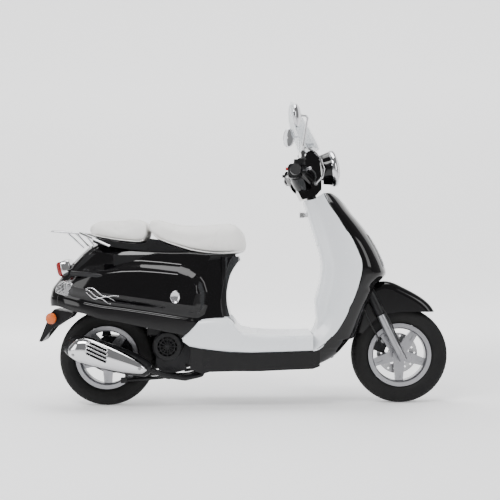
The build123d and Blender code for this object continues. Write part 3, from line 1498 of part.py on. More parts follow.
lamp_tilt = 8
lamp_axis = Vector(cos(radians(lamp_tilt)), 0, sin(radians(lamp_tilt)))
lamp_centre = Vector(*at(front(404, 1062), 0))
lamp_plane = Plane(origin=lamp_centre, x_dir=(0, 1, 0), z_dir=lamp_axis)
bucket_radius, bucket_depth = 81, 47
with BuildPart() as headlight_bucket:
    with BuildSketch(lamp_plane.offset(-bucket_depth)):
        Circle(66)
    with BuildSketch(lamp_plane):
        Circle(bucket_radius - 3)
    loft()
    with BuildSketch(lamp_plane):
        Circle(bucket_radius)
    extrude(amount=14)
    with BuildSketch(lamp_plane.offset(-bucket_depth + 4)):
        Circle(60)
    with BuildSketch(lamp_plane.offset(15)):
        Circle(bucket_radius - 8)
    loft(mode=Mode.SUBTRACT)
save(headlight_bucket.part, "headlight_bucket")

lens_radius = bucket_radius - 13
with BuildPart() as headlight_lens:
    for near, far, wide, narrow in (
        (4, 12, lens_radius, lens_radius - 2), (12, 25, lens_radius - 2, 48), (25, 33, 48, 16),
    ):
        with BuildSketch(lamp_plane.offset(near)):
            Circle(wide)
        with BuildSketch(lamp_plane.offset(far)):
            Circle(narrow)
        loft()
save(headlight_lens.part, "headlight_lens")

screen_stations = [(1148, 268, 124, 352), (1170, 258, 138, 345), (1238, 232, 150, 309), (1300, 220, 146, 274),
                   (1338, 217, 112, 250), (1360, 218, 52, 235)]  # fmt: skip
screen_stations = [(
    z + lift, x + front_shift, wide, nose + front_shift,
) for z, x, wide, nose in screen_stations]
with BuildPart() as windshield:
    add(nose_sheet(screen_stations, 3.5))
save(windshield.part, "windshield")

bracket_y = 98


def bracket_side(hand):
    low, knee, chest, brow = front(327, 988), front(357, 1021), front(364, 1052), front(350, 1094)
    tube = tube_path(
        [
            at(low, hand * (headset_half + 6)),
            at(knee, hand * bracket_y),
            at(chest, hand * bracket_y),
            at(brow, hand * bracket_y),
            at(front(322, 1128), hand * bracket_y),
            at(front(290, 1147), hand * (bracket_y - 2)),
            at(front(283, 1167), hand * (bracket_y - 4)),
        ],
        4.5,
        14,
    )
    return tube


with BuildPart() as windshield_bracket:
    for hand in (1, -1):
        add(bracket_side(hand))
        add(Solid.make_cylinder(
            9, 5, Plane(at(front(327, 988), hand * (headset_half + 1)), z_dir=(0, hand, 0)),
        ))
        add(Solid.make_cylinder(6, 36, Plane(at(front(284, 1166), hand * 57), z_dir=(1, 0, 0.05))))
    add(rod(at(front(283, 1166), -bracket_y + 4), at(front(283, 1166), bracket_y - 4), 4))
save(biggest(windshield_bracket.part), "windshield_bracket")

with BuildPart() as ignition_key:
    with BuildSketch(Plane.YZ.offset(key_x - 38)):
        with Locations((key_y, key_z)):
            RectangleRounded(5, 24, 2)
    extrude(amount=22)
    add(Solid.make_cylinder(9, 32, Plane((key_x - 17, key_y, key_z), z_dir=(1, 0, 0))))
save(ignition_key.part, "ignition_key")
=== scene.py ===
import json
import math
import bpy
import bmesh
import numpy as np
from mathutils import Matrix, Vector


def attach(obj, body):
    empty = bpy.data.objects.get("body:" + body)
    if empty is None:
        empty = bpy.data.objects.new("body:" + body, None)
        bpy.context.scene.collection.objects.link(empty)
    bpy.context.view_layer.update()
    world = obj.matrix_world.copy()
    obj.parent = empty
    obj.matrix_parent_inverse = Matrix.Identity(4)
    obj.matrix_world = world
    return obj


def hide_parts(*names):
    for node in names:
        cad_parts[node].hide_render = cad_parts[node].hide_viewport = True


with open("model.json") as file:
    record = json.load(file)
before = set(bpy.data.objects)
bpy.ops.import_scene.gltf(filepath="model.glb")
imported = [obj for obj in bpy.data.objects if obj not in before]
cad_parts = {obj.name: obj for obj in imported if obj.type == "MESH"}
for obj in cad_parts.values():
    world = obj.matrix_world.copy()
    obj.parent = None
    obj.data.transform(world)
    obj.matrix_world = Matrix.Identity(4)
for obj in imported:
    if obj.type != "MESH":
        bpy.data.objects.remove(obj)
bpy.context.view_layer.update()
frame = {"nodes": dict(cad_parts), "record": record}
nodes = frame["nodes"]


def catmull(points, count):
    # a Catmull-Rom curve through the points: each span is a cubic whose end slopes are half the chord across its
    # neighbours
    p = np.asarray(points, float)
    ends = np.concatenate([[2 * p[0] - p[1]], p, [2 * p[-1] - p[-2]]])
    step = np.linalg.norm(np.diff(p, axis=0), axis=-1).reshape(len(p) - 1, -1).max(axis=1) ** 0.5 + 1e-9
    knots = np.concatenate([[0], np.cumsum(step)])
    t = np.linspace(0, knots[-1], count)
    span = np.clip(np.searchsorted(knots, t, "right") - 1, 0, len(p) - 2)
    h = ((t - knots[span]) / step[span]).reshape((-1,) + (1,) * (p.ndim - 1))
    a, b, c, d = ends[span], ends[span + 1], ends[span + 2], ends[span + 3]
    slopeIn, slopeOut = (c - a) / 2, (d - b) / 2
    return ((2 * h**3 - 3 * h**2 + 1) * b + (h**3 - 2 * h**2 + h) * slopeIn + (3 * h**2 - 2 * h**3) * c
        + (h**3 - h**2) * slopeOut)


def curveAt(table, at):
    # a smooth function through (place, value...) rows: a fine Catmull-Rom curve read off at the places asked for
    fine = catmull(table, 600)
    order = np.argsort(fine[:, 0])
    fine = fine[order]
    values = [np.interp(at, fine[:, 0], fine[:, k]) for k in range(1, fine.shape[1])]
    return values[0] if len(values) == 1 else values


def meshFromGrid(name, grid, closeU=False, closeV=False, capU=False):
    # grid is rows x columns x 3; neighbours join into quads, and the last row or column joins the first when it
    # closes
    rows, cols = grid.shape[:2]
    u = np.arange(rows if closeU else rows - 1)
    v = np.arange(cols if closeV else cols - 1)
    a, b = np.meshgrid(u, v, indexing="ij")
    a2, b2 = (a + 1) % rows, (b + 1) % cols
    faces = np.stack([a * cols + b, a2 * cols + b, a2 * cols + b2, a * cols + b2], -1).reshape(-1, 4)
    mesh = bpy.data.meshes.new(name)
    polygons = faces.tolist()
    if capU:
        polygons += [list(range(cols - 1, -1, -1)), list(range((rows - 1) * cols, rows * cols))]
    mesh.from_pydata(grid.reshape(-1, 3).tolist(), [], polygons)
    obj = bpy.data.objects.new(name, mesh)
    bpy.context.scene.collection.objects.link(obj)
    tidyMesh(obj)
    return obj


def tidyMesh(obj):
    # merges what coincides, turns every face outwards and shades it smooth
    work = bmesh.new()
    work.from_mesh(obj.data)
    bmesh.ops.remove_doubles(work, verts=work.verts, dist=1e-6)
    bmesh.ops.dissolve_degenerate(work, edges=work.edges, dist=1e-7)
    bmesh.ops.recalc_face_normals(work, faces=work.faces)
    work.to_mesh(obj.data)
    work.free()
    obj.data.polygons.foreach_set("use_smooth", np.ones(len(obj.data.polygons), bool))
    obj.data.update()


def vertexValues(mesh, key):
    values = np.empty(len(mesh.vertices) * 3, np.float32)
    mesh.vertices.foreach_get(key, values)
    return values.reshape(-1, 3)


def thicken(obj, wall, offset=-1):
    shell = obj.modifiers.new("wall", "SOLIDIFY")
    shell.thickness = wall
    shell.offset = offset
    shell.use_even_offset = False
    return shell


def finishPiece(obj, slot, body, replaced=(), mat=None):
    # the slot's own material unless another is given
    obj.data.materials.append(mat or mats[slot])
    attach(obj, body)
    if replaced:
        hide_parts(*replaced)
    return obj


def joinMeshes(name, parts):
    # several meshes become one piece
    work = bmesh.new()
    for part in parts:
        work.from_mesh(part.data)
        data = part.data
        bpy.data.objects.remove(part)
        bpy.data.meshes.remove(data)
    mesh = bpy.data.meshes.new(name)
    work.to_mesh(mesh)
    work.free()
    obj = bpy.data.objects.new(name, mesh)
    bpy.context.scene.collection.objects.link(obj)
    mesh.polygons.foreach_set("use_smooth", np.ones(len(mesh.polygons), bool))
    return obj


def fullTurn(count):
    return np.linspace(0, 2 * np.pi, count, endpoint=False)


def tube(name, points, radius, count, around):
    # circles of one radius carried along a smooth path, each square to it; each starts from the side square to one
    # fixed direction
    path = catmull(points, count)
    ahead = np.gradient(path, axis=0)
    ahead /= np.linalg.norm(ahead, axis=1)[:, None]
    guess = np.array([0.03, 0.05, 1.0]) if abs(ahead[:, 2]).mean() < 0.8 else np.array([1.0, 0.05, 0.03])
    side = np.cross(ahead, guess)
    side /= np.linalg.norm(side, axis=1)[:, None]
    up = np.cross(side, ahead)
    turn = fullTurn(around)
    size = np.broadcast_to(np.asarray(radius, float), (count,))[:, None, None]
    ring = (path[:, None] + size * (np.cos(turn)[None, :, None] * side[:, None]
            + np.sin(turn)[None, :, None] * up[:, None]))
    return meshFromGrid(name, ring, closeV=True, capU=True)


def bent(points, share):
    # a bent wire: straight runs whose corners are quadratic curves that start a share of the shorter run away
    p = np.asarray(points, float)
    out = [p[0]]
    for a, b, c in zip(p[:-2], p[1:-1], p[2:]):
        cut = share * min(np.linalg.norm(b - a), np.linalg.norm(c - b))
        start, end = b + (a - b) / np.linalg.norm(a - b) * cut, b + (c - b) / np.linalg.norm(c - b) * cut
        out += [(1 - t) ** 2 * start + 2 * t * (1 - t) * b + t * t * end for t in np.linspace(0, 1, 9)]
    return np.array(out + [p[-1]])


def turned(name, profile, centre, axis, around, count, closed=False):
    # (distance along the axis, radius) rows, smoothed and spun about the axis; a closed section comes back to its
    # start
    rows = catmull(list(profile) + [profile[0]], count)[:-1] if closed else catmull(profile, count)
    axis = np.asarray(axis, float) / np.linalg.norm(axis)
    side = np.cross(axis, [0.0, 0.0, 1.0] if abs(axis[2]) < 0.9 else [1.0, 0.0, 0.0])
    side /= np.linalg.norm(side)
    up = np.cross(side, axis)
    turn = fullTurn(around)
    ring = np.cos(turn)[:, None] * side + np.sin(turn)[:, None] * up
    grid = np.asarray(centre) + rows[:, 0, None, None] * axis + rows[:, 1, None, None] * ring[None]
    return meshFromGrid(name, grid, closeU=closed, closeV=True, capU=not closed)


def netSurface(net, rows, cols):
    # a smooth surface through a small net of points, Catmull-Rom one way and then the other
    net = np.asarray(net, float)
    long = catmull(net, rows)
    return catmull(long.transpose(1, 0, 2), cols).transpose(1, 0, 2)


def bothSides(half):
    # a net given from the right hand edge to the middle, with its mirror image added
    half = np.asarray(half, float)
    other = half[:, -2::-1] * [1, -1, 1]
    return np.concatenate([half, other], axis=1)


def outlineDistance(px, pz, outline):
    # distance from each point to a closed outline, positive inside it
    a = np.asarray(outline, float)
    b = np.roll(a, -1, axis=0)
    p = np.stack([px, pz], -1)[..., None, :]
    edge = b - a
    along = np.clip(((p - a) * edge).sum(-1) / (edge**2).sum(-1), 0, 1)
    near = np.linalg.norm(p - a - along[..., None] * edge, axis=-1).min(-1)
    crosses = ((a[:, 1] > p[..., 1]) != (b[:, 1] > p[..., 1])) & (
        p[..., 0] < (b[:, 0] - a[:, 0]) * (p[..., 1] - a[:, 1]) / (b[:, 1] - a[:, 1] + 1e-12) + a[:, 0])
    return np.where(crosses.sum(-1) % 2 == 1, near, -near)


def smoothStep(x):
    x = np.clip(x, 0, 1)
    return x * x * (3 - 2 * x)


def addNode(tree, kind, **values):
    # socket names are given with _ for a space
    node = tree.nodes.new(kind)
    for key, value in values.items():
        node.inputs[key.replace("_", " ")].default_value = value
    return node


def material(name, color, rough=.4, metal=0, coat=0, speck=.04, roughSpeck=.12, scale=60, bump=0, bumpScale=400,
             dust=0, alpha=1, second=None, secondScale=6, specular=.5):
    # a broad and a fine noise break up the base colour, and the fine one the roughness; bump and dust are optional
    mat = bpy.data.materials.new(name)
    mat.use_nodes = True
    tree = mat.node_tree
    link = tree.links.new
    shader = tree.nodes["Principled BSDF"]
    place = tree.nodes.new("ShaderNodeTexCoord")
    broad = addNode(tree, "ShaderNodeTexNoise", Scale=secondScale, Detail=5.0)
    fine = addNode(tree, "ShaderNodeTexNoise", Scale=scale, Detail=8.0)
    link(place.outputs["Object"], broad.inputs["Vector"])
    link(place.outputs["Object"], fine.inputs["Vector"])
    ramp = tree.nodes.new("ShaderNodeValToRGB")
    ramp.color_ramp.elements[0].position = 0.3
    ramp.color_ramp.elements[1].position = 0.7
    other = second or [min(1, c * (1 + 3 * speck) + speck * 0.15) for c in color[:3]]
    ramp.color_ramp.elements[0].color = (*color[:3], 1)
    ramp.color_ramp.elements[1].color = (*other[:3], 1)
    link(broad.outputs["Fac"], ramp.inputs["Fac"])
    mix = tree.nodes.new("ShaderNodeMix")
    mix.data_type = "RGBA"
    mix.blend_type = "MULTIPLY"
    mix.inputs["Factor"].default_value = min(1, speck * 4)
    link(ramp.outputs["Color"], mix.inputs["A"])
    link(fine.outputs["Fac"], mix.inputs["B"])
    colourOut = mix.outputs["Result"]
    if dust > 0:
        normal = tree.nodes.new("ShaderNodeNewGeometry")
        split = tree.nodes.new("ShaderNodeSeparateXYZ")
        link(normal.outputs["Normal"], split.inputs["Vector"])
        top = addNode(tree, "ShaderNodeMapRange", From_Min=0.2, To_Max=dust)
        link(split.outputs["Z"], top.inputs["Value"])
        veil = tree.nodes.new("ShaderNodeMix")
        veil.data_type = "RGBA"
        veil.inputs["B"].default_value = (0.35, 0.33, 0.30, 1)
        link(top.outputs["Result"], veil.inputs["Factor"])
        link(colourOut, veil.inputs["A"])
        colourOut = veil.outputs["Result"]
    link(colourOut, shader.inputs["Base Color"])
    shine = addNode(tree, "ShaderNodeMapRange", From_Min=0.3, From_Max=0.7,
        To_Min=max(0.02, rough - roughSpeck / 2), To_Max=rough + roughSpeck / 2)
    link(fine.outputs["Fac"], shine.inputs["Value"])
    link(shine.outputs["Result"], shader.inputs["Roughness"])
    for key, value in (("Metallic", metal), ("Coat Weight", coat), ("Coat Roughness", 0.04), ("IOR", 1.45),
            ("Specular IOR Level", specular), ("Alpha", alpha)):
        shader.inputs[key].default_value = value
    if bump > 0:
        grain = addNode(tree, "ShaderNodeTexNoise", Scale=bumpScale, Detail=3.0)
        link(place.outputs["Object"], grain.inputs["Vector"])
        relief = addNode(tree, "ShaderNodeBump", Strength=bump, Distance=0.0006)
        link(grain.outputs["Fac"], relief.inputs["Height"])
        link(relief.outputs["Normal"], shader.inputs["Normal"])
    return mat


mats = {
    "black_cover": material("blackPaint", (0.0016, 0.0014, 0.0018), rough=0.06, speck=0.004, roughSpeck=0.03,
        scale=90, bump=0.012, bumpScale=160, specular=0.42),
    "black_satin": material("blackPlastic", (0.0045, 0.0045, 0.005), rough=0.34, speck=0.008, roughSpeck=0.14,
        scale=80, bump=0.35, bumpScale=900, specular=0.3),
    "white_gloss": material("whitePanel", (0.78, 0.81, 0.84), rough=0.24, coat=0.35, speck=0.01, roughSpeck=0.08,
        scale=70, bump=0.03, bumpScale=200, second=(0.80, 0.82, 0.85)),
    "white_vinyl": material("whiteVinyl", (0.80, 0.79, 0.765), rough=0.42, speck=0.02, scale=50, bump=0.55,
        bumpScale=620, second=(0.83, 0.82, 0.80)),
    "silver_paint": material("silverCast", (0.30, 0.30, 0.315), rough=0.30, metal=0.85, coat=0.3, speck=0.02,
        roughSpeck=0.06, bump=0.04, bumpScale=300),
    "cast_alloy": material("castAlloy", (0.022, 0.022, 0.024), rough=0.45, metal=0.35, speck=0.05, roughSpeck=0.2,
        scale=70, bump=0.8, bumpScale=420, dust=0.01, specular=0.35),
    "chrome": material("chrome", (0.62, 0.62, 0.635), rough=0.06, metal=1.0, speck=0.01, roughSpeck=0.05,
        scale=40),
    "steel": material("steel", (0.42, 0.42, 0.43), rough=0.32, metal=1.0, speck=0.06, roughSpeck=0.16, scale=150,
        bump=0.1, bumpScale=700),
    "dark_steel": material("darkSteel", (0.008, 0.008, 0.009), rough=0.34, metal=0.2, speck=0.02, roughSpeck=0.14,
        scale=80, bump=0.3, bumpScale=500, specular=0.35),
    "tyre": material("tyreRubber", (0.0075, 0.0075, 0.008), rough=0.60, speck=0.06, roughSpeck=0.16, bump=0.5,
        bumpScale=700, dust=0.012, second=(0.012, 0.0118, 0.0115), specular=0.22),
    "rubber": material("gripRubber", (0.006, 0.006, 0.0065), rough=0.50, speck=0.08, roughSpeck=0.15, scale=120,
        bump=0.4, bumpScale=800),
    "red_lens": material("redLens", (0.30, 0.004, 0.004), rough=0.14, coat=0.3, speck=0.03, roughSpeck=0.06,
        bump=0.3, bumpScale=300, second=(0.16, 0.002, 0.002)),
    "amber_lens": material("facetLens", (0.50, 0.50, 0.51), rough=0.12, metal=0.75, coat=0.4, speck=0.10,
        roughSpeck=0.08, scale=90, bump=1.0, bumpScale=120, second=(0.26, 0.26, 0.27)),
    "clear_lens": material("lampGlass", (0.92, 0.94, 0.95), rough=0.05, speck=0.0, roughSpeck=0.02, scale=40,
        alpha=0.28),
    "clear_screen": material("screen", (0.50, 0.54, 0.57), rough=0.06, speck=0.0, roughSpeck=0.03, scale=30,
        alpha=0.34),
    "silver_trim": material("silverTrim", (0.55, 0.55, 0.57), rough=0.16, metal=0.9, roughSpeck=0.08),
    "key_metal": material("keyMetal", (0.5, 0.5, 0.5), rough=0.3, metal=1.0, speck=0.08, roughSpeck=0.2,
        scale=200),
    "red_button": material("redButton", (0.35, 0.02, 0.015), speck=0.05, roughSpeck=0.1, scale=100, bump=0.2,
        bumpScale=500),
}
for node in frame["record"]["subparts"]:
    obj = nodes[node["node"]]
    obj.data.materials.clear()
    obj.data.materials.append(mats[node["material_slot"]])
print("materials on the frame")

bodyShape = {
    "topLine": [(-.018, .678), (-.10, .677), (-.167, .679), (-.232, .685), (-.32, .686), (-.407, .691),
        (-.495, .698), (-.574, .710), (-.665, .732)],
    "lowLine": [(-.06, .402), (-.10, .400), (-.17, .392), (-.215, .362), (-.250, .330), (-.30, .336),
        (-.411, .358), (-.542, .385), (-.629, .399), (-.695, .420), (-.76, .434), (-.826, .452), (-.872, .452)],
    "beltTop": [(-.06, .402), (-.19, .395), (-.277, .404), (-.408, .425), (-.538, .444), (-.625, .455),
        (-.712, .472), (-.799, .492), (-.872, .497)],
    "tail": [(.452, -.874), (.486, -.876), (.527, -.867), (.549, -.853), (.572, -.834), (.603, -.811),
        (.631, -.788), (.653, -.765), (.676, -.742), (.698, -.719), (.716, -.697), (.732, -.665)],
    "frontEdge": [(.390, -.083), (.402, -.087), (.432, -.093), (.476, -.095), (.52, -.090), (.573, -.080),
        (.643, -.058), (.684, -.030)],
    "cowl": [(-.157, .515), (-.170, .559), (-.196, .598), (-.230, .620), (-.273, .635), (-.360, .645),
        (-.447, .652), (-.533, .651), (-.620, .643), (-.690, .630), (-.755, .606),
        (-.800, .575), (-.812, .548), (-.800, .522), (-.760, .500), (-.625, .470), (-.538, .458),
        (-.408, .438), (-.277, .416), (-.20, .404), (-.172, .420), (-.158, .455)],
    "halfWidth": .176,
}


def bodyPoint(s, v):
    # s runs back along the side from the front edge to the tail, v up from the lower edge to the seat rail.
    # In plan each level is a superellipse: y = w (1 - s^2.6)^(1/2.3), and the cowl stands out of it over a wide
    # bevel.
    zTail = np.interp(v, [0, 1], [.452, .732])
    xTail = curveAt(bodyShape["tail"], zTail)
    xFront = curveAt(bodyShape["frontEdge"], np.interp(v, [0, 1], [.395, .680]))
    x = xFront + (xTail - xFront) * s
    low = curveAt(bodyShape["lowLine"], -.083 + (-.874 + .083) * s)
    top = curveAt(bodyShape["topLine"], -.030 + (-.665 + .030) * s)
    z = low + (top - low) * v
    width = bodyShape["halfWidth"] * (1 - .13 * v**3) * (1 - .22 * np.clip(.16 - s, 0, 1) / .16 * (.4 + .6 * v))
    y = width * np.clip(1 - s**2.6, 0, 1) ** (1 / 2.3)
    inside = outlineDistance(x, z, bodyShape["cowl"])
    fade = smoothStep((.985 - s) / .10)
    y = y + fade * (.033 * smoothStep((inside + .004) / .052))
    belt = curveAt(bodyShape["beltTop"], np.clip(x, -.872, -.06))
    y = y + .006 * smoothStep((belt - z + .004) / .010)
    return np.stack([x, y, z], -1)


def makeBody():
    # the side is cut where it comes within 75 mm of the middle: ahead of that a panel a side, behind it one tail
    # piece
    rows, cols = 330, 112
    angle = np.linspace(0, np.pi / 2, rows)
    s, v = np.meshgrid(np.sin(angle) ** (2 / 2.2), np.linspace(0, 1, cols), indexing="ij")
    side = bodyPoint(s, v)
    lip = side[:, -1:] * [1, .90, 1] + [0, 0, .004]
    foot = side[:, :1] * [1, .955, 1] + [0, 0, .001]
    side = np.concatenate([foot, side, lip], axis=1)
    cut = int(np.argmax(side[:, 60, 1] < .075))
    for name, sign in (("bodyRight", -1), ("bodyLeft", 1)):
        panel = meshFromGrid(name, side[:cut] * [1, sign, 1])
        thicken(panel, .003)
        finishPiece(panel, "black_cover", "chassis", ["body_right" if sign < 0 else "body_left"])
    tail = side[cut:]
    tail = np.concatenate([tail * [1, -1, 1], tail[-2::-1]], axis=0)
    piece = meshFromGrid("tailPanel", tail + [.0006, 0, 0])
    thicken(piece, .003)
    finishPiece(piece, "black_cover", "chassis", ["tail_panel"])
    print("body sides and tail")


makeBody()


seatShape = {
    "riderTop": [(-.421, .812), (-.413, .832), (-.400, .835), (-.377, .829), (-.332, .817), (-.286, .806),
        (-.241, .801), (-.196, .801), (-.150, .804), (-.105, .808), (-.059, .810), (-.036, .807), (-.014, .790),
        (.004, .757), (.013, .728)],
    "riderLow": [(-.421, .800), (-.408, .772), (-.386, .751), (-.364, .737), (-.320, .719), (-.277, .705),
        (-.233, .691), (-.189, .682), (-.145, .676), (-.101, .673), (-.057, .674), (-.013, .680), (.004, .689),
        (.013, .700)],
    "riderWidth": [(-.421, .112), (-.35, .124), (-.25, .132), (-.12, .132), (-.04, .122), (.013, .095)],
    "pillionTop": [(-.682, .800), (-.676, .820), (-.660, .826), (-.632, .827), (-.543, .829), (-.475, .833),
        (-.440, .830), (-.427, .815)],
    "pillionLow": [(-.682, .790), (-.668, .762), (-.588, .743), (-.500, .731), (-.456, .729), (-.436, .738),
        (-.427, .760)],
    "pillionWidth": [(-.682, .090), (-.64, .106), (-.50, .112), (-.427, .106)],
}


def cushion(name, top, low, width, stations=60, around=64):
    # stations crowd towards the ends as a cosine; with c, s the cosine and sine around, each section is
    # y = w sgn(c) |c|^0.55, and z leaves the middle by the depth times |s|^0.72 above and |s|^0.50 below
    t = (1 - np.cos(np.linspace(0, np.pi, stations))) / 2
    x = top[0][0] + (top[-1][0] - top[0][0]) * t
    zTop, zLow, half = curveAt(top, x), curveAt(low, x), curveAt(width, x)
    turn = fullTurn(around)
    c, s = np.cos(turn), np.sin(turn)
    y = half[:, None] * np.sign(c) * abs(c) ** .55
    middle = (zTop * .52 + zLow * .48)[:, None]
    up = np.where(s > 0, (zTop[:, None] - middle) * abs(s) ** .72, -(middle - zLow[:, None]) * abs(s) ** .50)
    grid = np.stack([np.broadcast_to(x[:, None], y.shape), y, middle + up], -1)
    return meshFromGrid(name, grid, closeV=True, capU=True)


def swell(obj, cap, pressure=4.0):
    # the pad is remeshed evenly, blown up as cloth with its underside held, and no point may travel further than
    # the cap
    remesh = obj.modifiers.new("even", "REMESH")
    remesh.mode = "VOXEL"
    remesh.voxel_size = .005
    bpy.context.view_layer.objects.active = obj
    bpy.ops.object.modifier_apply(modifier=remesh.name)
    start = vertexValues(obj.data, "co")
    under = vertexValues(obj.data, "normal")[:, 2] < -.72
    held = obj.vertex_groups.new(name="held")
    held.add(np.flatnonzero(under).tolist(), 1.0, "REPLACE")
    cloth = obj.modifiers.new("pad", "CLOTH")
    cloth.settings.use_pressure = True
    cloth.settings.uniform_pressure_force = pressure
    cloth.settings.effector_weights.gravity = 0
    cloth.settings.vertex_group_mass = "held"
    cloth.settings.tension_stiffness = 20
    cloth.settings.quality = 5
    scene = bpy.context.scene
    for frameNumber in range(1, 21):
        scene.frame_set(frameNumber)
    swollen = obj.evaluated_get(bpy.context.evaluated_depsgraph_get()).to_mesh()
    move = vertexValues(swollen, "co") - start
    obj.modifiers.remove(cloth)
    far = np.linalg.norm(move, axis=1, keepdims=True)
    start += move * np.minimum(1, cap / np.maximum(far, 1e-9))
    obj.data.vertices.foreach_set("co", start.ravel())
    obj.data.update()
    scene.frame_set(1)


def seam(obj, through, normal, depth, width, keep=None):
    # a stitched line: points near a plane are drawn in along their normals by depth exp(-(d/width)^2)
    co, no = vertexValues(obj.data, "co"), vertexValues(obj.data, "normal")
    far = (co - np.array(through)) @ (np.array(normal) / np.linalg.norm(normal))
    pull = depth * np.exp(-(far / width) ** 2)
    if keep:
        pull = pull * keep(co)
    co -= no * pull[:, None]
    obj.data.vertices.foreach_set("co", co.ravel())
    obj.data.update()


def makeSeats():
    rider = cushion("riderCushion", seatShape["riderTop"], seatShape["riderLow"], seatShape["riderWidth"])
    pillion = cushion("pillionCushion", seatShape["pillionTop"], seatShape["pillionLow"],
        seatShape["pillionWidth"], 48)
    for pad, node in ((rider, "rider_seat"), (pillion, "passenger_seat")):
        swell(pad, .007)
        smooth = pad.modifiers.new("smooth", "SMOOTH")
        smooth.iterations = 4
        smooth.factor = .5
        fine = pad.modifiers.new("fine", "SUBSURF")
        fine.levels = fine.render_levels = 1
        bpy.context.view_layer.objects.active = pad
        bpy.ops.object.modifier_apply(modifier=smooth.name)
        bpy.ops.object.modifier_apply(modifier=fine.name)
        pad.data.polygons.foreach_set("use_smooth", np.ones(len(pad.data.polygons), bool))
        finishPiece(pad, "white_vinyl", "seat", [node])
    seam(rider, (-.112, 0, .777), (.93, 0, -.36), .0022, .0035)
    seam(rider, (-.30, 0, .811), (1, 0, .12), .0014, .0035, lambda p: smoothStep((p[:, 2] - .77) / .02))
    seam(pillion, (-.555, 0, .80), (1, 0, .05), .0012, .003, lambda p: smoothStep((p[:, 2] - .79) / .02))
    for pad in ("rider", "pillion"):
        low, width = seatShape[pad + "Low"], seatShape[pad + "Width"]
        x = np.linspace(low[1][0] + .006, low[-2][0] - .006, 26)
        z, y = curveAt(low, x) + .010, curveAt(width, x)
        right = np.stack([x, -y, z], -1)
        path = np.concatenate([right, [[x[-1] + .012, 0, z[-1] + .006]], right[::-1] * [1, -1, 1]])
        cord = tube(pad + "Piping", path, .0026, 240, 8)
        finishPiece(cord, "white_vinyl", "seat")
    print("seats")


makeSeats()


wheelShape = {"axleHeight": .216, "grooveDepth": .0042, "blocks": 60, "ringGrooves": (-.021, -.0075, .0075, .021),
    "ribRadii": (.176, .160)}


def makeTyre(name, centreX, body, node):
    # the section goes from bead to bead; four zigzag rings and slanted shoulder cuts are pressed into the tread
    across, around = 96, 720
    profile = catmull([(-.0285, .1425), (-.0375, .152), (-.0445, .172), (-.0460, .187), (-.0425, .201),
            (-.034, .2105), (-.021, .2150), (0, .2160), (.021, .2150), (.034, .2105),
                       (.0425, .201), (.0460, .187), (.0445, .172), (.0375, .152), (.0285, .1425)], across)
    turn = fullTurn(around)
    y = profile[:, 0][None] + 0 * turn[:, None]
    r = profile[:, 1][None] + 0 * turn[:, None]
    blocks = wheelShape["blocks"]
    wave = .0028 * np.abs(((turn[:, None] * blocks / (2 * np.pi)) % 1) * 2 - 1)
    groove = np.zeros_like(y)
    for place in wheelShape["ringGrooves"]:
        groove = np.maximum(groove, 1 - smoothStep((np.abs(y - place - np.sign(place) * wave) - .0011) / .0009))
    phase = (turn[:, None] * blocks / (2 * np.pi) + np.abs(y) * 28) % 1
    cuts = ((1 - smoothStep((np.abs(phase - .5) - .10) / .05)) * smoothStep((np.abs(y) - .0225) / .002)
        * smoothStep((.0425 - np.abs(y)) / .003))
    groove = np.maximum(groove, cuts)
    groove *= smoothStep((r - .196) / .004)
    rib = sum(.0007 * (1 - smoothStep((np.abs(r - radius) - .0007) / .0006)) for radius in wheelShape["ribRadii"])
    r = r - wheelShape["grooveDepth"] * groove
    y = y + np.sign(y) * rib
    inner = catmull([(.0285, .1425), (.027, .150), (0, .160), (-.027, .150), (-.0285, .1425)], 12)[1:-1]
    y = np.concatenate([y, np.broadcast_to(inner[:, 0], (around, len(inner)))], 1)
    r = np.concatenate([r, np.broadcast_to(inner[:, 1], (around, len(inner)))], 1)
    grid = np.stack([centreX + r * np.cos(turn[:, None]), y, wheelShape["axleHeight"] + r * np.sin(turn[:, None])],
        -1)
    tyre = meshFromGrid(name, grid, closeU=True, closeV=True)
    finishPiece(tyre, "tyre", body, [node])


makeTyre("frontTyre", .7015, "front_wheel", "front_tyre")
makeTyre("rearTyre", -.6185, "rear_wheel", "rear_tyre")
print("tyres")


shieldShape = {
    "edge": [(.178, .300), (.211, .300), (.237, .300), (.256, .303), (.268, .328), (.286, .351), (.316, .382),
        (.346, .408), (.397, .439), (.445, .461), (.496, .483), (.548, .501), (.596, .512), (.639, .513),
        (.691, .498), (.743, .472), (.791, .443), (.843, .413), (.882, .387), (.917, .370), (.944, .360)],
    "half": [(.178, .128), (.211, .150), (.237, .170), (.256, .183), (.286, .190), (.316, .196), (.358, .203),
        (.410, .207), (.485, .211), (.560, .214), (.630, .215), (.695, .210), (.770, .198), (.836, .182),
        (.888, .163), (.944, .127)],
    "nose": [(.178, .316), (.185, .326), (.211, .379), (.237, .415), (.272, .446), (.298, .468), (.309, .488),
        (.380, .516), (.433, .538), (.473, .557), (.504, .570), (.537, .598), (.567, .632), (.585, .643),
        (.603, .640), (.649, .623), (.717, .590), (.786, .546), (.859, .487), (.919, .442), (.944, .412)],
}


def shieldPoint(z, angle, out=0.0):
    # at each height a squared quarter ellipse from the nose (angle 0) to the rolled edge (a right angle):
    # x = edge + (nose - edge) cos(angle)^0.92, y = inner + (half - inner) sin(angle)^0.96;
    # inner is the half width of the opening for the wheel below the nose
    edge, half, nose = curveAt(shieldShape["edge"], z), curveAt(shieldShape["half"],
        z), curveAt(shieldShape["nose"], z)
    inner = .104 * (1 - smoothStep((z - .500) / .040))
    x = edge + (nose - edge + out) * np.cos(angle) ** .92
    y = inner + (half - inner + out) * np.sin(angle) ** .96
    return np.stack([x, y, z + 0 * x], -1)


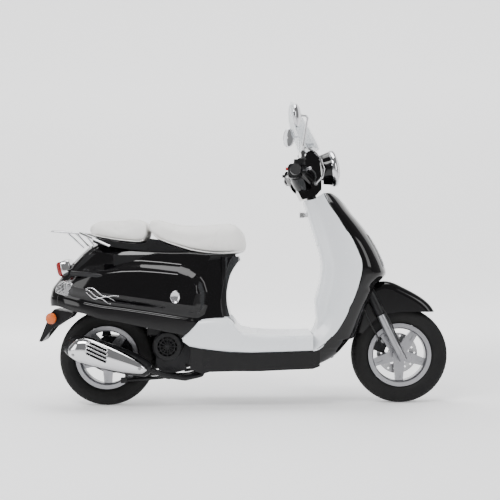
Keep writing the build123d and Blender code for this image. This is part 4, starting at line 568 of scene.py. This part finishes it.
frontShape = {
    "lampLow": .610, "lampHigh": .768, "lampMiddle": .689, "lampHalfTall": .0795, "lampHalfWide": .0165,
    "lampOut": .105,
    "stripLow": .600, "stripHigh": .905, "louvreMiddle": .757, "louvrePitch": .0155,
}


def makeOuterShield():
    at = frontShape
    rows, cols = 240, 84
    z, angle = np.meshgrid(np.linspace(.181, .944, rows), np.linspace(0, np.pi / 2, cols), indexing="ij")
    half = shieldPoint(z, angle)
    lip = half[:, -1:] + [-.003, -.004, 0]
    half = np.concatenate([half, lip], axis=1)
    arch = half[:, 0, 1] > .0008
    full = meshFromGrid("frontShield", np.concatenate([half[:, ::-1] * [1, -1, 1], half], axis=1)[~arch])
    first = int(np.argmax(~arch))
    sides = [meshFromGrid("side", half[:first + 1] * [1, sign, 1]) for sign in (-1, 1)]
    shield = joinMeshes("legShieldOuter", [full] + sides)
    tidyMesh(shield)
    thicken(shield, .0035)
    finishPiece(shield, "black_cover", "chassis", ["leg_shield_outer"])
    for sign in (-1, 1):
        name = "Right" if sign < 0 else "Left"
        z, across = np.meshgrid(np.linspace(at["lampLow"], at["lampHigh"], 90), np.linspace(-1, 1, 26),
            indexing="ij")
        up = (z - at["lampMiddle"]) / at["lampHalfTall"]
        wide = at["lampHalfWide"] * np.sqrt(np.clip(1 - up**4, 0, 1))
        middle = at["lampOut"] - .045 * (z - at["lampMiddle"])
        angle = np.arcsin(np.clip((middle + wide * across) / curveAt(shieldShape["half"], z), 0, 1))
        facet = .0009 * np.cos(z * 520) * np.cos(across * 9)
        pillow = .0045 * np.clip(1 - across**6, 0, 1) * np.clip(1 - up**8, 0, 1)
        lens = meshFromGrid("frontLamp" + name, shieldPoint(z, angle, pillow + facet * (pillow > .003))
            * [1, sign, 1])
        thicken(lens, .003)
        finishPiece(lens, "amber_lens", "chassis", ["front_indicators"])
    z, across = np.meshgrid(np.linspace(at["stripLow"], at["stripHigh"], 150), np.linspace(-1, 1, 20),
        indexing="ij")
    high = z - at["louvreMiddle"]
    wide = .0075 + .0065 * np.exp(-(high / .045) ** 4)
    angle = np.arcsin(wide * np.abs(across) / curveAt(shieldShape["half"], z))
    louvre = (np.exp(-(high / .036) ** 8) * smoothStep((np.cos(z * 2 * np.pi / at["louvrePitch"]) - .1) / .35)
        * (np.abs(across) < .78))
    strip = shieldPoint(z, angle, .0045 * (1 - across**8) - .0038 * louvre)
    strip[..., 1] *= np.sign(across)
    trim = meshFromGrid("centreTrim", strip)
    thicken(trim, .003)
    finishPiece(trim, "silver_trim", "chassis", ["horn_cover"])
    print("outer shield")


makeOuterShield()


innerShape = {  # centre (x, z), edge (x, z), half width
    "rows": [(.301, .3225, .301, .256, .1895), (.304, .328, .322, .262, .1895), (.311, .338, .338, .273, .190),
        (.319, .356, .351, .286, .190), (.326, .383, .382, .316, .196), (.324, .429, .415, .358, .203),
        (.324, .475, .445, .410, .207),
        (.343, .533, .478, .485, .211), (.353, .590, .503, .560, .214), (.353, .645, .513, .630, .215),
        (.341, .695, .497, .695, .210), (.318, .770, .456, .770, .198), (.298, .836, .418, .836, .182),
        (.282, .888, .385, .888, .163), (.2745, .911, .361, .946, .127)],
    "columnHalf": .066, "footHalf": .094, "door": (.512, .716, .060),
    "trayMiddle": .604, "trayHalf": (.0585, .0915), "trayDepths": (.3615, .364, .372, .384, .3865, .387),
}


def makeInnerShield():
    # a net from each rolled edge over the hollow beside the column to the column's middle, with the doorway cut
    # from it
    net = []
    for number, (xc, zc, xe, ze, w) in enumerate(innerShape["rows"]):
        deep = min(.052, (xe - xc) * .5) if number > 2 else (xe - xc) * .3
        foot = (xc + deep, -innerShape["footHalf"], zc + (ze - zc) * .22)
        middle = (foot[0] * .42 + xe * .58, -(foot[1] * -.40 + w * .60), foot[2] * .42 + ze * .58)
        net.append([(xe, -w, ze), middle, foot, (xc + .005, -innerShape["columnHalf"], zc + (ze - zc) * .08),
                (xc, 0, zc)])
    net = bothSides(net)
    rows, cols = 200, 161
    grid = netSurface(net, rows, cols)
    low, high, half = innerShape["door"]
    inRow = np.flatnonzero((grid[:, cols // 2, 2] > low) & (grid[:, cols // 2, 2] < high))
    inCol = np.flatnonzero(np.abs(grid[inRow[0], :, 1]) < half)
    r0, r1, c0, c1 = inRow[0], inRow[-1], inCol[0], inCol[-1]
    pieces = [grid[:r0 + 1], grid[r1:], grid[r0:r1 + 1, :c0 + 1], grid[r0:r1 + 1, c1:]]
    shield = joinMeshes("legShieldInner", [meshFromGrid("part", p) for p in pieces])
    tidyMesh(shield)
    flipTowards(shield, (-1, 0, .3))
    thicken(shield, .0035)
    door = grid[r0:r1 + 1, c0:c1 + 1].copy()
    middle = door.mean((0, 1))
    door = middle + (door - middle) * [1, .982, .991] + [-.0004, 0, 0]
    panel = meshFromGrid("gloveboxDoor", door)
    flipTowards(panel, (-1, 0, 0))
    thicken(panel, .0032)
    finishPiece(panel, "white_gloss", "glovebox", ["glovebox_door"])
    finishPiece(shield, "white_gloss", "chassis", ["leg_shield_inner"])
    # the box behind the door: a rounded tray whose section shrinks a little towards its back
    turn = fullTurn(64)
    square = lambda c: np.sign(c) * np.abs(c) ** .35
    depth = np.array(innerShape["trayDepths"])
    trayWide, trayTall = innerShape["trayHalf"]
    size = np.array([1, .992, .98, .97, .93, .02])
    trayY = trayWide * size[:, None] * square(np.cos(turn))[None]
    trayZ = innerShape["trayMiddle"] + trayTall * size[:, None] * square(np.sin(turn))[None]
    tray = np.stack(np.broadcast_arrays(depth[:, None], trayY, trayZ), -1)
    box = meshFromGrid("gloveboxTray", tray, closeV=True)
    thicken(box, .0015, 1)
    finishPiece(box, "black_satin", "chassis")
    print("inner shield")


def flipTowards(obj, direction):
    # turns an open sheet so that most of its area faces a direction
    mesh = obj.data
    total = np.zeros(3)
    for polygon in mesh.polygons:
        total += np.array(polygon.normal) * polygon.area
    if total @ np.array(direction) < 0:
        mesh.flip_normals()
    mesh.update()


makeInnerShield()


floorShape = {
    "low": [(-.266, .3165), (-.264, .300), (-.238, .280), (-.190, .270), (-.125, .261), (-.060, .254),
        (.027, .250), (.157, .252), (.243, .2545), (.301, .256)],
    "top": [(-.266, .3170), (-.234, .349), (-.196, .394), (-.180, .3975), (-.125, .4005), (-.075, .399),
        (-.050, .384), (-.030, .355), (-.010, .3385), (.036, .3295), (.09, .3245), (.15, .3215), (.25, .3205),
        (.301, .3225)],
    "inset": (.034, .223, .291), "groove": .0016, "ribHeight": .0009, "ribPitch": .018, "ribHalf": .132,
    "ribEnds": (.052, .206),
}


def makeFloor():
    # across each station: up the skirt from the lower edge to the shoulder, round it and in to the middle
    inset = floorShape["inset"]
    fine = np.concatenate([c + np.linspace(-.003, .003, 9) for c in inset[:2]])
    x = np.unique(np.concatenate([np.linspace(-.266, .301, 220), fine]))
    low, top = np.interp(x, *np.array(floorShape["low"]).T), np.interp(x, *np.array(floorShape["top"]).T)
    tall = top - low
    under = smoothStep((x + .075) / .05)
    tunnel = top * under + .33 * (1 - under)
    columns = [(.183, low), (.1895, low + .10 * tall), (.190, low + .45 * tall), (.187, low + .80 * tall),
        (.178, low + .955 * tall), (.165, top), (.140, top + .0005), (.07, tunnel), (0, tunnel)]
    net = np.stack([np.stack([x, np.full_like(x, -y), z], -1) for y, z in columns], 1)
    half = catmull(net.transpose(1, 0, 2), 72).transpose(1, 0, 2)
    grid = np.concatenate([half, half[:, -2::-1] * [1, -1, 1]], axis=1)
    px, py, pz = grid[..., 0], np.abs(grid[..., 1]), grid[..., 2]
    line = np.minimum(np.abs(px - inset[0]), np.abs(px - inset[1])) + 10 * (pz < inset[2])
    sideLine = np.abs(pz - inset[2]) + 10 * ((px < inset[0]) | (px > inset[1]))
    groove = 1 - smoothStep((np.minimum(line, sideLine) - .0006) / .0014)
    first, last = floorShape["ribEnds"]
    ribs = (floorShape["ribHeight"] * smoothStep(np.cos(py * 2 * np.pi / floorShape["ribPitch"]) * 3)
        * smoothStep((floorShape["ribHalf"] - py) / .004) * smoothStep((px - first) / .006)
        * smoothStep((last - px) / .006))
    inward = np.stack([0 * px, -np.sign(grid[..., 1]) * smoothStep((py - .172) / .01),
            -(1 - smoothStep((py - .172) / .01))], -1)
    grid = grid + inward * (floorShape["groove"] * groove - ribs)[..., None]
    floor = meshFromGrid("floorBoard", grid)
    flipTowards(floor, (0, 0, 1))
    thicken(floor, .003)
    finishPiece(floor, "white_gloss", "chassis", ["floor_board"])
    print("floor board")


makeFloor()


lampShape = {"centre": (.4125, 0, 1.061), "glassRadius": .0722, "flute": .009,
    "axis": (math.cos(math.radians(7)), 0, math.sin(math.radians(7)))}


def makeHeadlight():
    centre, axis = lampShape["centre"], lampShape["axis"]
    ring = turned("headlightRing", [(-.013, .0800), (-.006, .0832), (.003, .0830), (.010, .0795), (.0135, .0745),
            (.011, .0715), (.002, .0712), (-.013, .0725)], centre, axis, 96, 49, closed=True)
    finishPiece(ring, "chrome", "steering")
    bowl = turned("headlightReflector", [(.006, .0712), (-.006, .068), (-.018, .058), (-.028, .042), (-.034, .024),
            (-.035, .012), (-.030, .010), (-.030, .0005)], centre, axis, 96, 40)
    thicken(bowl, .0012)
    finishPiece(bowl, "chrome", "steering")
    bulb = turned("headlightBulb", [(-.032, .0005), (-.032, .0085), (-.016, .0085), (-.010, .0060), (-.004, .0030),
            (-.003, .0005)], centre, axis, 32, 30)
    finishPiece(bulb, "clear_lens", "steering")
    # the glass is a shallow dome with fine upright flutes: its bulge is (1 - (r / radius)^2)^0.8
    radius, turn = np.meshgrid(np.linspace(.0004, lampShape["glassRadius"], 48),
        fullTurn(160), indexing="ij")
    across, up = radius * np.cos(turn), radius * np.sin(turn)
    bulge = (.0085 + .0205 * (1 - (radius / lampShape["glassRadius"]) ** 2) ** .8
        + .0005 * np.cos(across * 2 * np.pi / lampShape["flute"]) * (radius < .062))
    ahead, side = np.array(axis), np.array([0, 1, 0])
    grid = (np.array(centre) + bulge[..., None] * ahead + across[..., None] * side
        + up[..., None] * np.cross(ahead, side) * -1)
    glass = meshFromGrid("headlightGlass", grid, closeV=True)
    flipTowards(glass, axis)
    thicken(glass, .0014)
    finishPiece(glass, "clear_lens", "steering", ["headlight_lens"])
    print("headlight")


makeHeadlight()


mirrorMat = material("mirrorGlass", (.80, .81, .83), rough=.03, metal=1.0, speck=.0, roughSpeck=.02, scale=30)
ornamentMat = material("ornamentPaint", (.78, .78, .80), rough=.22, metal=.8, coat=.3, speck=.02, roughSpeck=.08,
    scale=90)
orangeMat = material("orangeReflector", (.62, .13, .004), rough=.18, coat=.3, roughSpeck=.06, scale=160, bump=.6,
    bumpScale=300, second=(.45, .07, .002))


alongBody, upBody = np.meshgrid(np.linspace(.02, .97, 180), np.linspace(.02, .98, 90), indexing="ij")
bodySample = bodyPoint(alongBody, upBody).reshape(-1, 3)


def onBody(x, z, lift):
    # a place seen square on, taken out to the mean depth of the three nearest samples of the side, plus the lift
    place = np.stack([np.atleast_1d(x), np.atleast_1d(z)], -1)
    far = ((bodySample[None, :, [0, 2]] - place[:, None]) ** 2).sum(-1)
    near = np.argsort(far, axis=1)[:, :3]
    y = bodySample[near, 1].mean(1)
    return np.stack([place[:, 0], y + lift, place[:, 1]], -1)


trimShape = {
    "mirror": (.232, .372, 1.250), "mirrorFoot": (.264, .198, 1.084), "mirrorTurn": {"Right": 14, "Left": 30},
    "badge": (-.295, .495), "badgeHalf": (.021, .028), "reflector": (-.857, .0905, .399),
}


def makeTrim():
    mirrorX, mirrorY, mirrorZ = trimShape["mirror"]
    footX, footY, footZ = trimShape["mirrorFoot"]
    badgeX, badgeZ = trimShape["badge"]
    badgeWide, badgeTall = trimShape["badgeHalf"]
    discX, discY, discZ = trimShape["reflector"]
    for sign, side in ((-1, "Right"), (1, "Left")):
        turnIn = math.radians(trimShape["mirrorTurn"][side])
        look = np.array([-math.cos(turnIn), -sign * math.sin(turnIn), 0])
        back = np.array([mirrorX, sign * mirrorY, mirrorZ])
        body = "mirror_right" if sign < 0 else "mirror_left"
        head = turned("mirrorHead" + side, [(-.0150, .0004), (-.0148, .010), (-.0125, .022), (-.008, .036),
                (-.002, .0455), (.004, .0485), (.0070, .0482), (.0076, .0468), (.0062, .0456), (.0050, .0440),
                (.0050, .0004)], back, look, 96, 60)
        finishPiece(head, "chrome", body, [body])
        stem = tube("mirrorStem" + side, bent([(footX, sign * footY, 1.087), (footX, sign * footY, 1.137),
                (.278, sign * .332, 1.252), tuple(back - look * .012)], .35), .0045, 160, 16)
        finishPiece(stem, "chrome", body)
        boot = turned("mirrorBoot" + side, [(0, .0004), (0, .0115), (.006, .0125), (.009, .0090), (.020, .0080),
                (.026, .0092), (.034, .0092), (.037, .0060), (.040, .0046), (.040, .0004)],
                (footX, sign * footY, footZ), (0, 0, 1), 40, 60)
        finishPiece(boot, "rubber", body)
        glass = turned("mirrorGlass" + side, [(.0055, .0455), (.0066, .0450), (.0072, .03), (.0074, .0004)], back,
            look, 72, 16)
        finishPiece(glass, "chrome", body, mat=mirrorMat)
        # a plain lozenge with a raised rim, and three long waves as an ornament
        grid = []
        for scale, lift in ((1.0, .0006), (1.0, .0030), (.90, .0034), (.86, .0022), (.02, .0022)):
            turn = fullTurn(64)
            bx = badgeX + badgeWide * scale * np.sign(np.cos(turn)) * np.abs(np.cos(turn)) ** 1.15
            bz = badgeZ + badgeTall * scale * np.sign(np.sin(turn)) * np.abs(np.sin(turn)) ** 1.15
            grid.append(onBody(bx, bz, lift))
        badge = meshFromGrid("badge" + side, np.array(grid) * [1, sign, 1], closeV=True)
        finishPiece(badge, "silver_trim", "chassis")
        for number in range(3):
            t = np.linspace(0, 1, 34)
            wx = -.690 + (.150 - .02 * number) * t
            wz = (.532 - .012 * number - .040 * t + (.013 - .002 * number)
                * np.sin(t * (2.6 + .3 * number) * np.pi + number * .8) * (1 - .5 * t))
            stroke = tube("wave%s%d" % (side, number), onBody(wx, wz, .0012) * [1, sign, 1],
                .0006 + .0015 * np.sin(np.pi * np.linspace(.02, .98, 90)) ** .7, 90, 10)
            finishPiece(stroke, "silver_trim", "chassis", mat=ornamentMat)
        disc = turned("rearReflector" + side, [(-.004, .0004), (-.004, .0235), (.000, .0250), (.004, .0240),
                (.0055, .018), (.006, .0004)], (discX, sign * discY, discZ), (-.25, sign * .97, 0), 56, 40)
        finishPiece(disc, "amber_lens", "chassis", mat=orangeMat)
    # the crankcase's lower hanger, then the cables held at both ends
    cradle = tube("engineCradle", [(-.322, -.066, .139), (-.285, -.070, .1375), (-.240, -.070, .142),
            (-.205, -.066, .153)], .0125, 60, 20)
    finishPiece(cradle, "dark_steel", "engine_unit")
    hose = [((.620, -.052, .262), (.600, -.062, .300), (.566, -.070, .360), (.540, -.074, .420),
            (.520, -.070, .470)), ((.700, -.072, .232), (.694, -.092, .262), (.668, -.100, .330),
            (.640, -.098, .392), (.600, -.090, .455), (.560, -.080, .500))]
    for number, path in enumerate(hose):
        line = tube("forkCable%d" % number, path, .0032, 90, 12)
        finishPiece(line, "rubber", "steering")
    for sign in (-1, 1):
        path = [(.262, sign * .188, 1.052), (.292, sign * .172, 1.050), (.318, sign * .145, 1.030),
            (.322, sign * .112, 1.004), (.306, sign * .084, .985)]
        line = tube("barCable%s" % ("Right" if sign < 0 else "Left"), path, .0034, 80, 12)
        finishPiece(line, "rubber", "steering")
    print("trim")


makeTrim()


def gridNormals(grid):
    # unit normals of a grid from the cross product of its two slopes
    n = np.cross(np.gradient(grid, axis=0), np.gradient(grid, axis=1))
    return n / np.maximum(np.linalg.norm(n, axis=-1, keepdims=True), 1e-12)


exhaustShape = {
    "top": [(-.763, .270), (-.757, .286), (-.728, .314), (-.698, .323), (-.663, .319), (-.620, .303),
        (-.556, .276), (-.491, .241), (-.448, .212), (-.428, .192), (-.423, .182)],
    "low": [(-.763, .262), (-.757, .242), (-.728, .221), (-.707, .212), (-.621, .188), (-.535, .170),
        (-.458, .162), (-.436, .166), (-.423, .176)],
    "slotCentre": (-.634, .262), "slots": 4, "slotHalf": (.043, .0032), "pitch": .0152, "slant": 25,
    "screws": [(-.668, .304), (-.737, .250), (-.452, .187)],
}


def heatShieldPoint(x, v):
    # between the two edge lines at each x, standing out as a flattened half round towards the right
    top, low = curveAt(exhaustShape["top"], x), curveAt(exhaustShape["low"], x)
    z = (top + low) / 2 + v * (top - low) / 2
    full = np.clip((top - low) / .105, .12, 1)
    y = -.183 - .034 * full**.7 * np.sqrt(np.clip(1 - np.abs(v) ** 2.3, 0, 1))
    return np.stack([x, y, z], -1)


def makeExhaust():
    t = np.linspace(0, 1, 300)
    x, v = np.meshgrid(-.763 + .340 * t, np.sin(np.linspace(-np.pi / 2, np.pi / 2, 110)), indexing="ij")
    grid = heatShieldPoint(x, v)
    tilt = math.radians(exhaustShape["slant"])
    dx, dz = grid[..., 0] - exhaustShape["slotCentre"][0], grid[..., 2] - exhaustShape["slotCentre"][1]
    along, across = dx * math.cos(tilt) - dz * math.sin(tilt), dx * math.sin(tilt) + dz * math.cos(tilt)
    halfLong, halfWide = exhaustShape["slotHalf"]
    hole, rim = np.zeros(x.shape, bool), np.zeros_like(x)
    for number in range(exhaustShape["slots"]):
        b = across - (number - (exhaustShape["slots"] - 1) / 2) * exhaustShape["pitch"]
        a = along + .006 * number - .008
        reach = np.hypot(np.maximum(np.abs(a) - halfLong, 0), b)
        hole |= reach < halfWide
        rim = np.maximum(rim, 1 - smoothStep(np.abs(reach - halfWide - .0022) / .0026))
    grid[..., 1] -= .0022 * rim
    shield = meshFromGrid("heatShield", grid)
    work = bmesh.new()
    work.from_mesh(shield.data)
    spots = grid.reshape(-1, 3)[hole.ravel()]
    keep = {tuple(np.round(p, 5)) for p in spots}
    bmesh.ops.delete(work, geom=[vert for vert in work.verts if tuple(np.round(np.array(vert.co), 5)) in keep],
        context="VERTS")
    work.to_mesh(shield.data)
    work.free()
    flipTowards(shield, (0, -1, 0))
    thicken(shield, .0016)
    finishPiece(shield, "chrome", "engine_unit", ["heat_shield"])
    for number, (sx, sz) in enumerate(exhaustShape["screws"]):
        top, low = curveAt(exhaustShape["top"], sx), curveAt(exhaustShape["low"], sx)
        spot = heatShieldPoint(np.array([sx]), np.array([(sz - (top + low) / 2) / ((top - low) / 2)]))[0]
        screw = turned("shieldScrew%d" % number, [(-.003, .0004), (-.003, .0068), (.0008, .0072), (.0028, .0060),
                (.0034, .0036), (.0016, .0030), (.0014, .0004)], spot, (0, -1, 0), 32, 24)
        finishPiece(screw, "steel", "engine_unit")
    print("heat shield")


makeExhaust()


def makeTail():
    # the lamp is a rounded block: rings of a squared oval that shrink into a domed red face, with a bright collar
    # behind
    base, axis, halfWide, halfTall = np.array([-.779, 0, .628]), np.array([-.938, 0, -.20]), .056, .0385
    axis /= np.linalg.norm(axis)
    up = np.array([.36, 0, .933])
    up -= axis * (up @ axis)
    up /= np.linalg.norm(up)
    turn = fullTurn(96)
    c, n = np.cos(turn), np.sin(turn)
    square = np.stack([np.sign(c) * np.abs(c) ** .55, np.sign(n) * np.abs(n) ** .55], -1)
    for name, rows, slotName, replaced in (
            ("tailLampCollar", [(0, .90), (.004, .96), (.034, 1.0), (.0385, 1.0), (.0405, .97), (.0395, .94),
                    (.032, .93)], "chrome", []),
            ("tailLampLens", [(.030, .925), (.044, .925), (.0525, .90), (.058, .84), (.0620, .70), (.0645, .45),
                    (.0652, .2), (.0653, .01)], "red_lens", ["tail_lamp"])):
        ring = np.array([base + axis * d + square[:, :1] * size * halfWide * np.array([0, 1, 0])
                + square[:, 1:] * size * halfTall * up for d, size in rows])
        if name == "tailLampLens":
            ring = catmull(ring, 60)
        piece = meshFromGrid(name, ring, closeV=True, capU=True)
        finishPiece(piece, slotName, "chassis", replaced)
    for sign, side in ((-1, "Right"), (1, "Left")):
        s, v = np.meshgrid(np.linspace(.878, .968, 80), np.linspace(.20, .43, 60), indexing="ij")
        patch = bodyPoint(s, v + (s - .92) * 1.1 * (.31 - v))
        normal = gridNormals(patch)
        normal *= np.sign(normal[..., 1:2])
        a, b = np.linspace(-1, 1, 80)[:, None], np.linspace(-1, 1, 60)[None]
        dome = np.clip(1 - a**4 - b**4, 0, 1) ** .4
        facet = .0011 * np.cos(a * 14) * np.cos(b * 11) * (dome > .5)
        lens = meshFromGrid("rearLamp" + side, (patch + normal
                * ((.0075 * dome - .0012)[..., None] + facet[..., None])) * [1, sign, 1])
        flipTowards(lens, (0, sign, 0))
        thicken(lens, .002)
        finishPiece(lens, "amber_lens", "chassis", ["rear_indicators"])
    # the inner skin ahead of the rear tyre, slightly hollow
    x, z = np.meshgrid(np.linspace(-.432, -.300, 24), np.linspace(.318, .420, 18), indexing="ij")
    sheet = np.stack([x, -.078 - .004 * np.cos((x + .366) * 30), z], -1)
    arch = meshFromGrid("archSkin", sheet)
    thicken(arch, .002)
    finishPiece(arch, "black_satin", "chassis")
    print("tail")


makeTail()


stageShape = {"span": 16, "wallStart": 6, "wallCurve": 3, "wallTop": 12, "aim": (0, 0, .55)}


def makeStage():
    # a wide flat floor, and behind it a wall that curves up from it as a quarter round
    span, start, curve = stageShape["span"], stageShape["wallStart"], stageShape["wallCurve"]
    x, y = np.meshgrid(np.linspace(-span, span, 24), np.linspace(-span, start, 24), indexing="ij")
    floor = meshFromGrid("studioFloor", np.stack([x, y, 0 * x], -1))
    turn = np.linspace(0, np.pi / 2, 16)
    wallY = np.append(start + curve * np.sin(turn), start + curve)
    wallZ = np.append(curve - curve * np.cos(turn), stageShape["wallTop"])
    x, y = np.meshgrid(np.linspace(-span, span, 24), wallY, indexing="ij")
    wall = meshFromGrid("studioWall", np.stack([x, y, np.broadcast_to(wallZ, x.shape)], -1))
    # the paper emits more light towards the back, so that dark paint doesn't mirror a bright floor; the floor's
    # dimmer emission at the front is painted shade, standing for light falling off and for a deeper shadow under
    # the wheels
    for sheet, near, far in ((floor, .30, 1.25), (wall, 1.25, 1.25)):
        paper = material(sheet.name + "Paper", (.90, .90, .91), rough=.85, speck=.003, roughSpeck=.05, scale=3,
            second=(.905, .905, .912))
        tree = paper.node_tree
        shader = tree.nodes["Principled BSDF"]
        shader.inputs["Emission Color"].default_value = (1, 1, 1, 1)
        split = tree.nodes.new("ShaderNodeSeparateXYZ")
        tree.links.new(tree.nodes["Texture Coordinate"].outputs["Object"], split.inputs["Vector"])
        # painted shade: on the floor the emission rises from .30 at the front to 1.25 at the back, so it is
        # darkest near the scooter
        paintedFalloff = addNode(tree, "ShaderNodeMapRange", From_Min=.2, From_Max=4.0, To_Min=near, To_Max=far)
        paintedFalloff.interpolation_type = "SMOOTHSTEP"
        tree.links.new(split.outputs["Y"], paintedFalloff.inputs["Value"])
        tree.links.new(paintedFalloff.outputs["Result"], shader.inputs["Emission Strength"])
        flipTowards(sheet, (0, -1, 1))
        sheet.data.materials.append(paper)
    world = bpy.data.worlds.new("studio")
    world.use_nodes = True
    world.node_tree.nodes["Background"].inputs["Color"].default_value = (1, 1, 1, 1)
    world.node_tree.nodes["Background"].inputs["Strength"].default_value = .30
    bpy.context.scene.world = world
    lamps = [("keyLight", (-1.4, -3.0, 3.6), (2.4, 1.2), 150), ("topLight", (.2, .2, 3.8), (3.2, 1.8), 120),
        ("fillLight", (3.2, -2.4, 1.8), (1.4, 2.2), 45), ("rimLight", (-2.6, 2.6, 2.8), (2.0, 1.4), 45),
        ("lowLight", (-3.4, -2.2, 1.2), (1.2, 2.0), 30)]
    for name, place, size, power in lamps:
        data = bpy.data.lights.new(name, "AREA")
        data.shape = "RECTANGLE"
        data.size, data.size_y = size
        data.energy = power
        lamp = bpy.data.objects.new(name, data)
        lamp.location = place
        aim = np.array(stageShape["aim"]) - np.array(place)
        lamp.rotation_euler = Vector(aim).to_track_quat("-Z", "Y").to_euler()
        bpy.context.scene.collection.objects.link(lamp)
    camera = bpy.data.objects.new("photoCamera", bpy.data.cameras.new("photoCamera"))
    camera.data.lens = 64.92
    camera.data.sensor_width = 36
    camera.location = (.0308, -4.1, .6954)
    camera.rotation_euler = (math.radians(90), math.radians(.553), 0)
    bpy.context.scene.collection.objects.link(camera)
    bpy.context.scene.camera = camera
    print("stage")


makeStage()
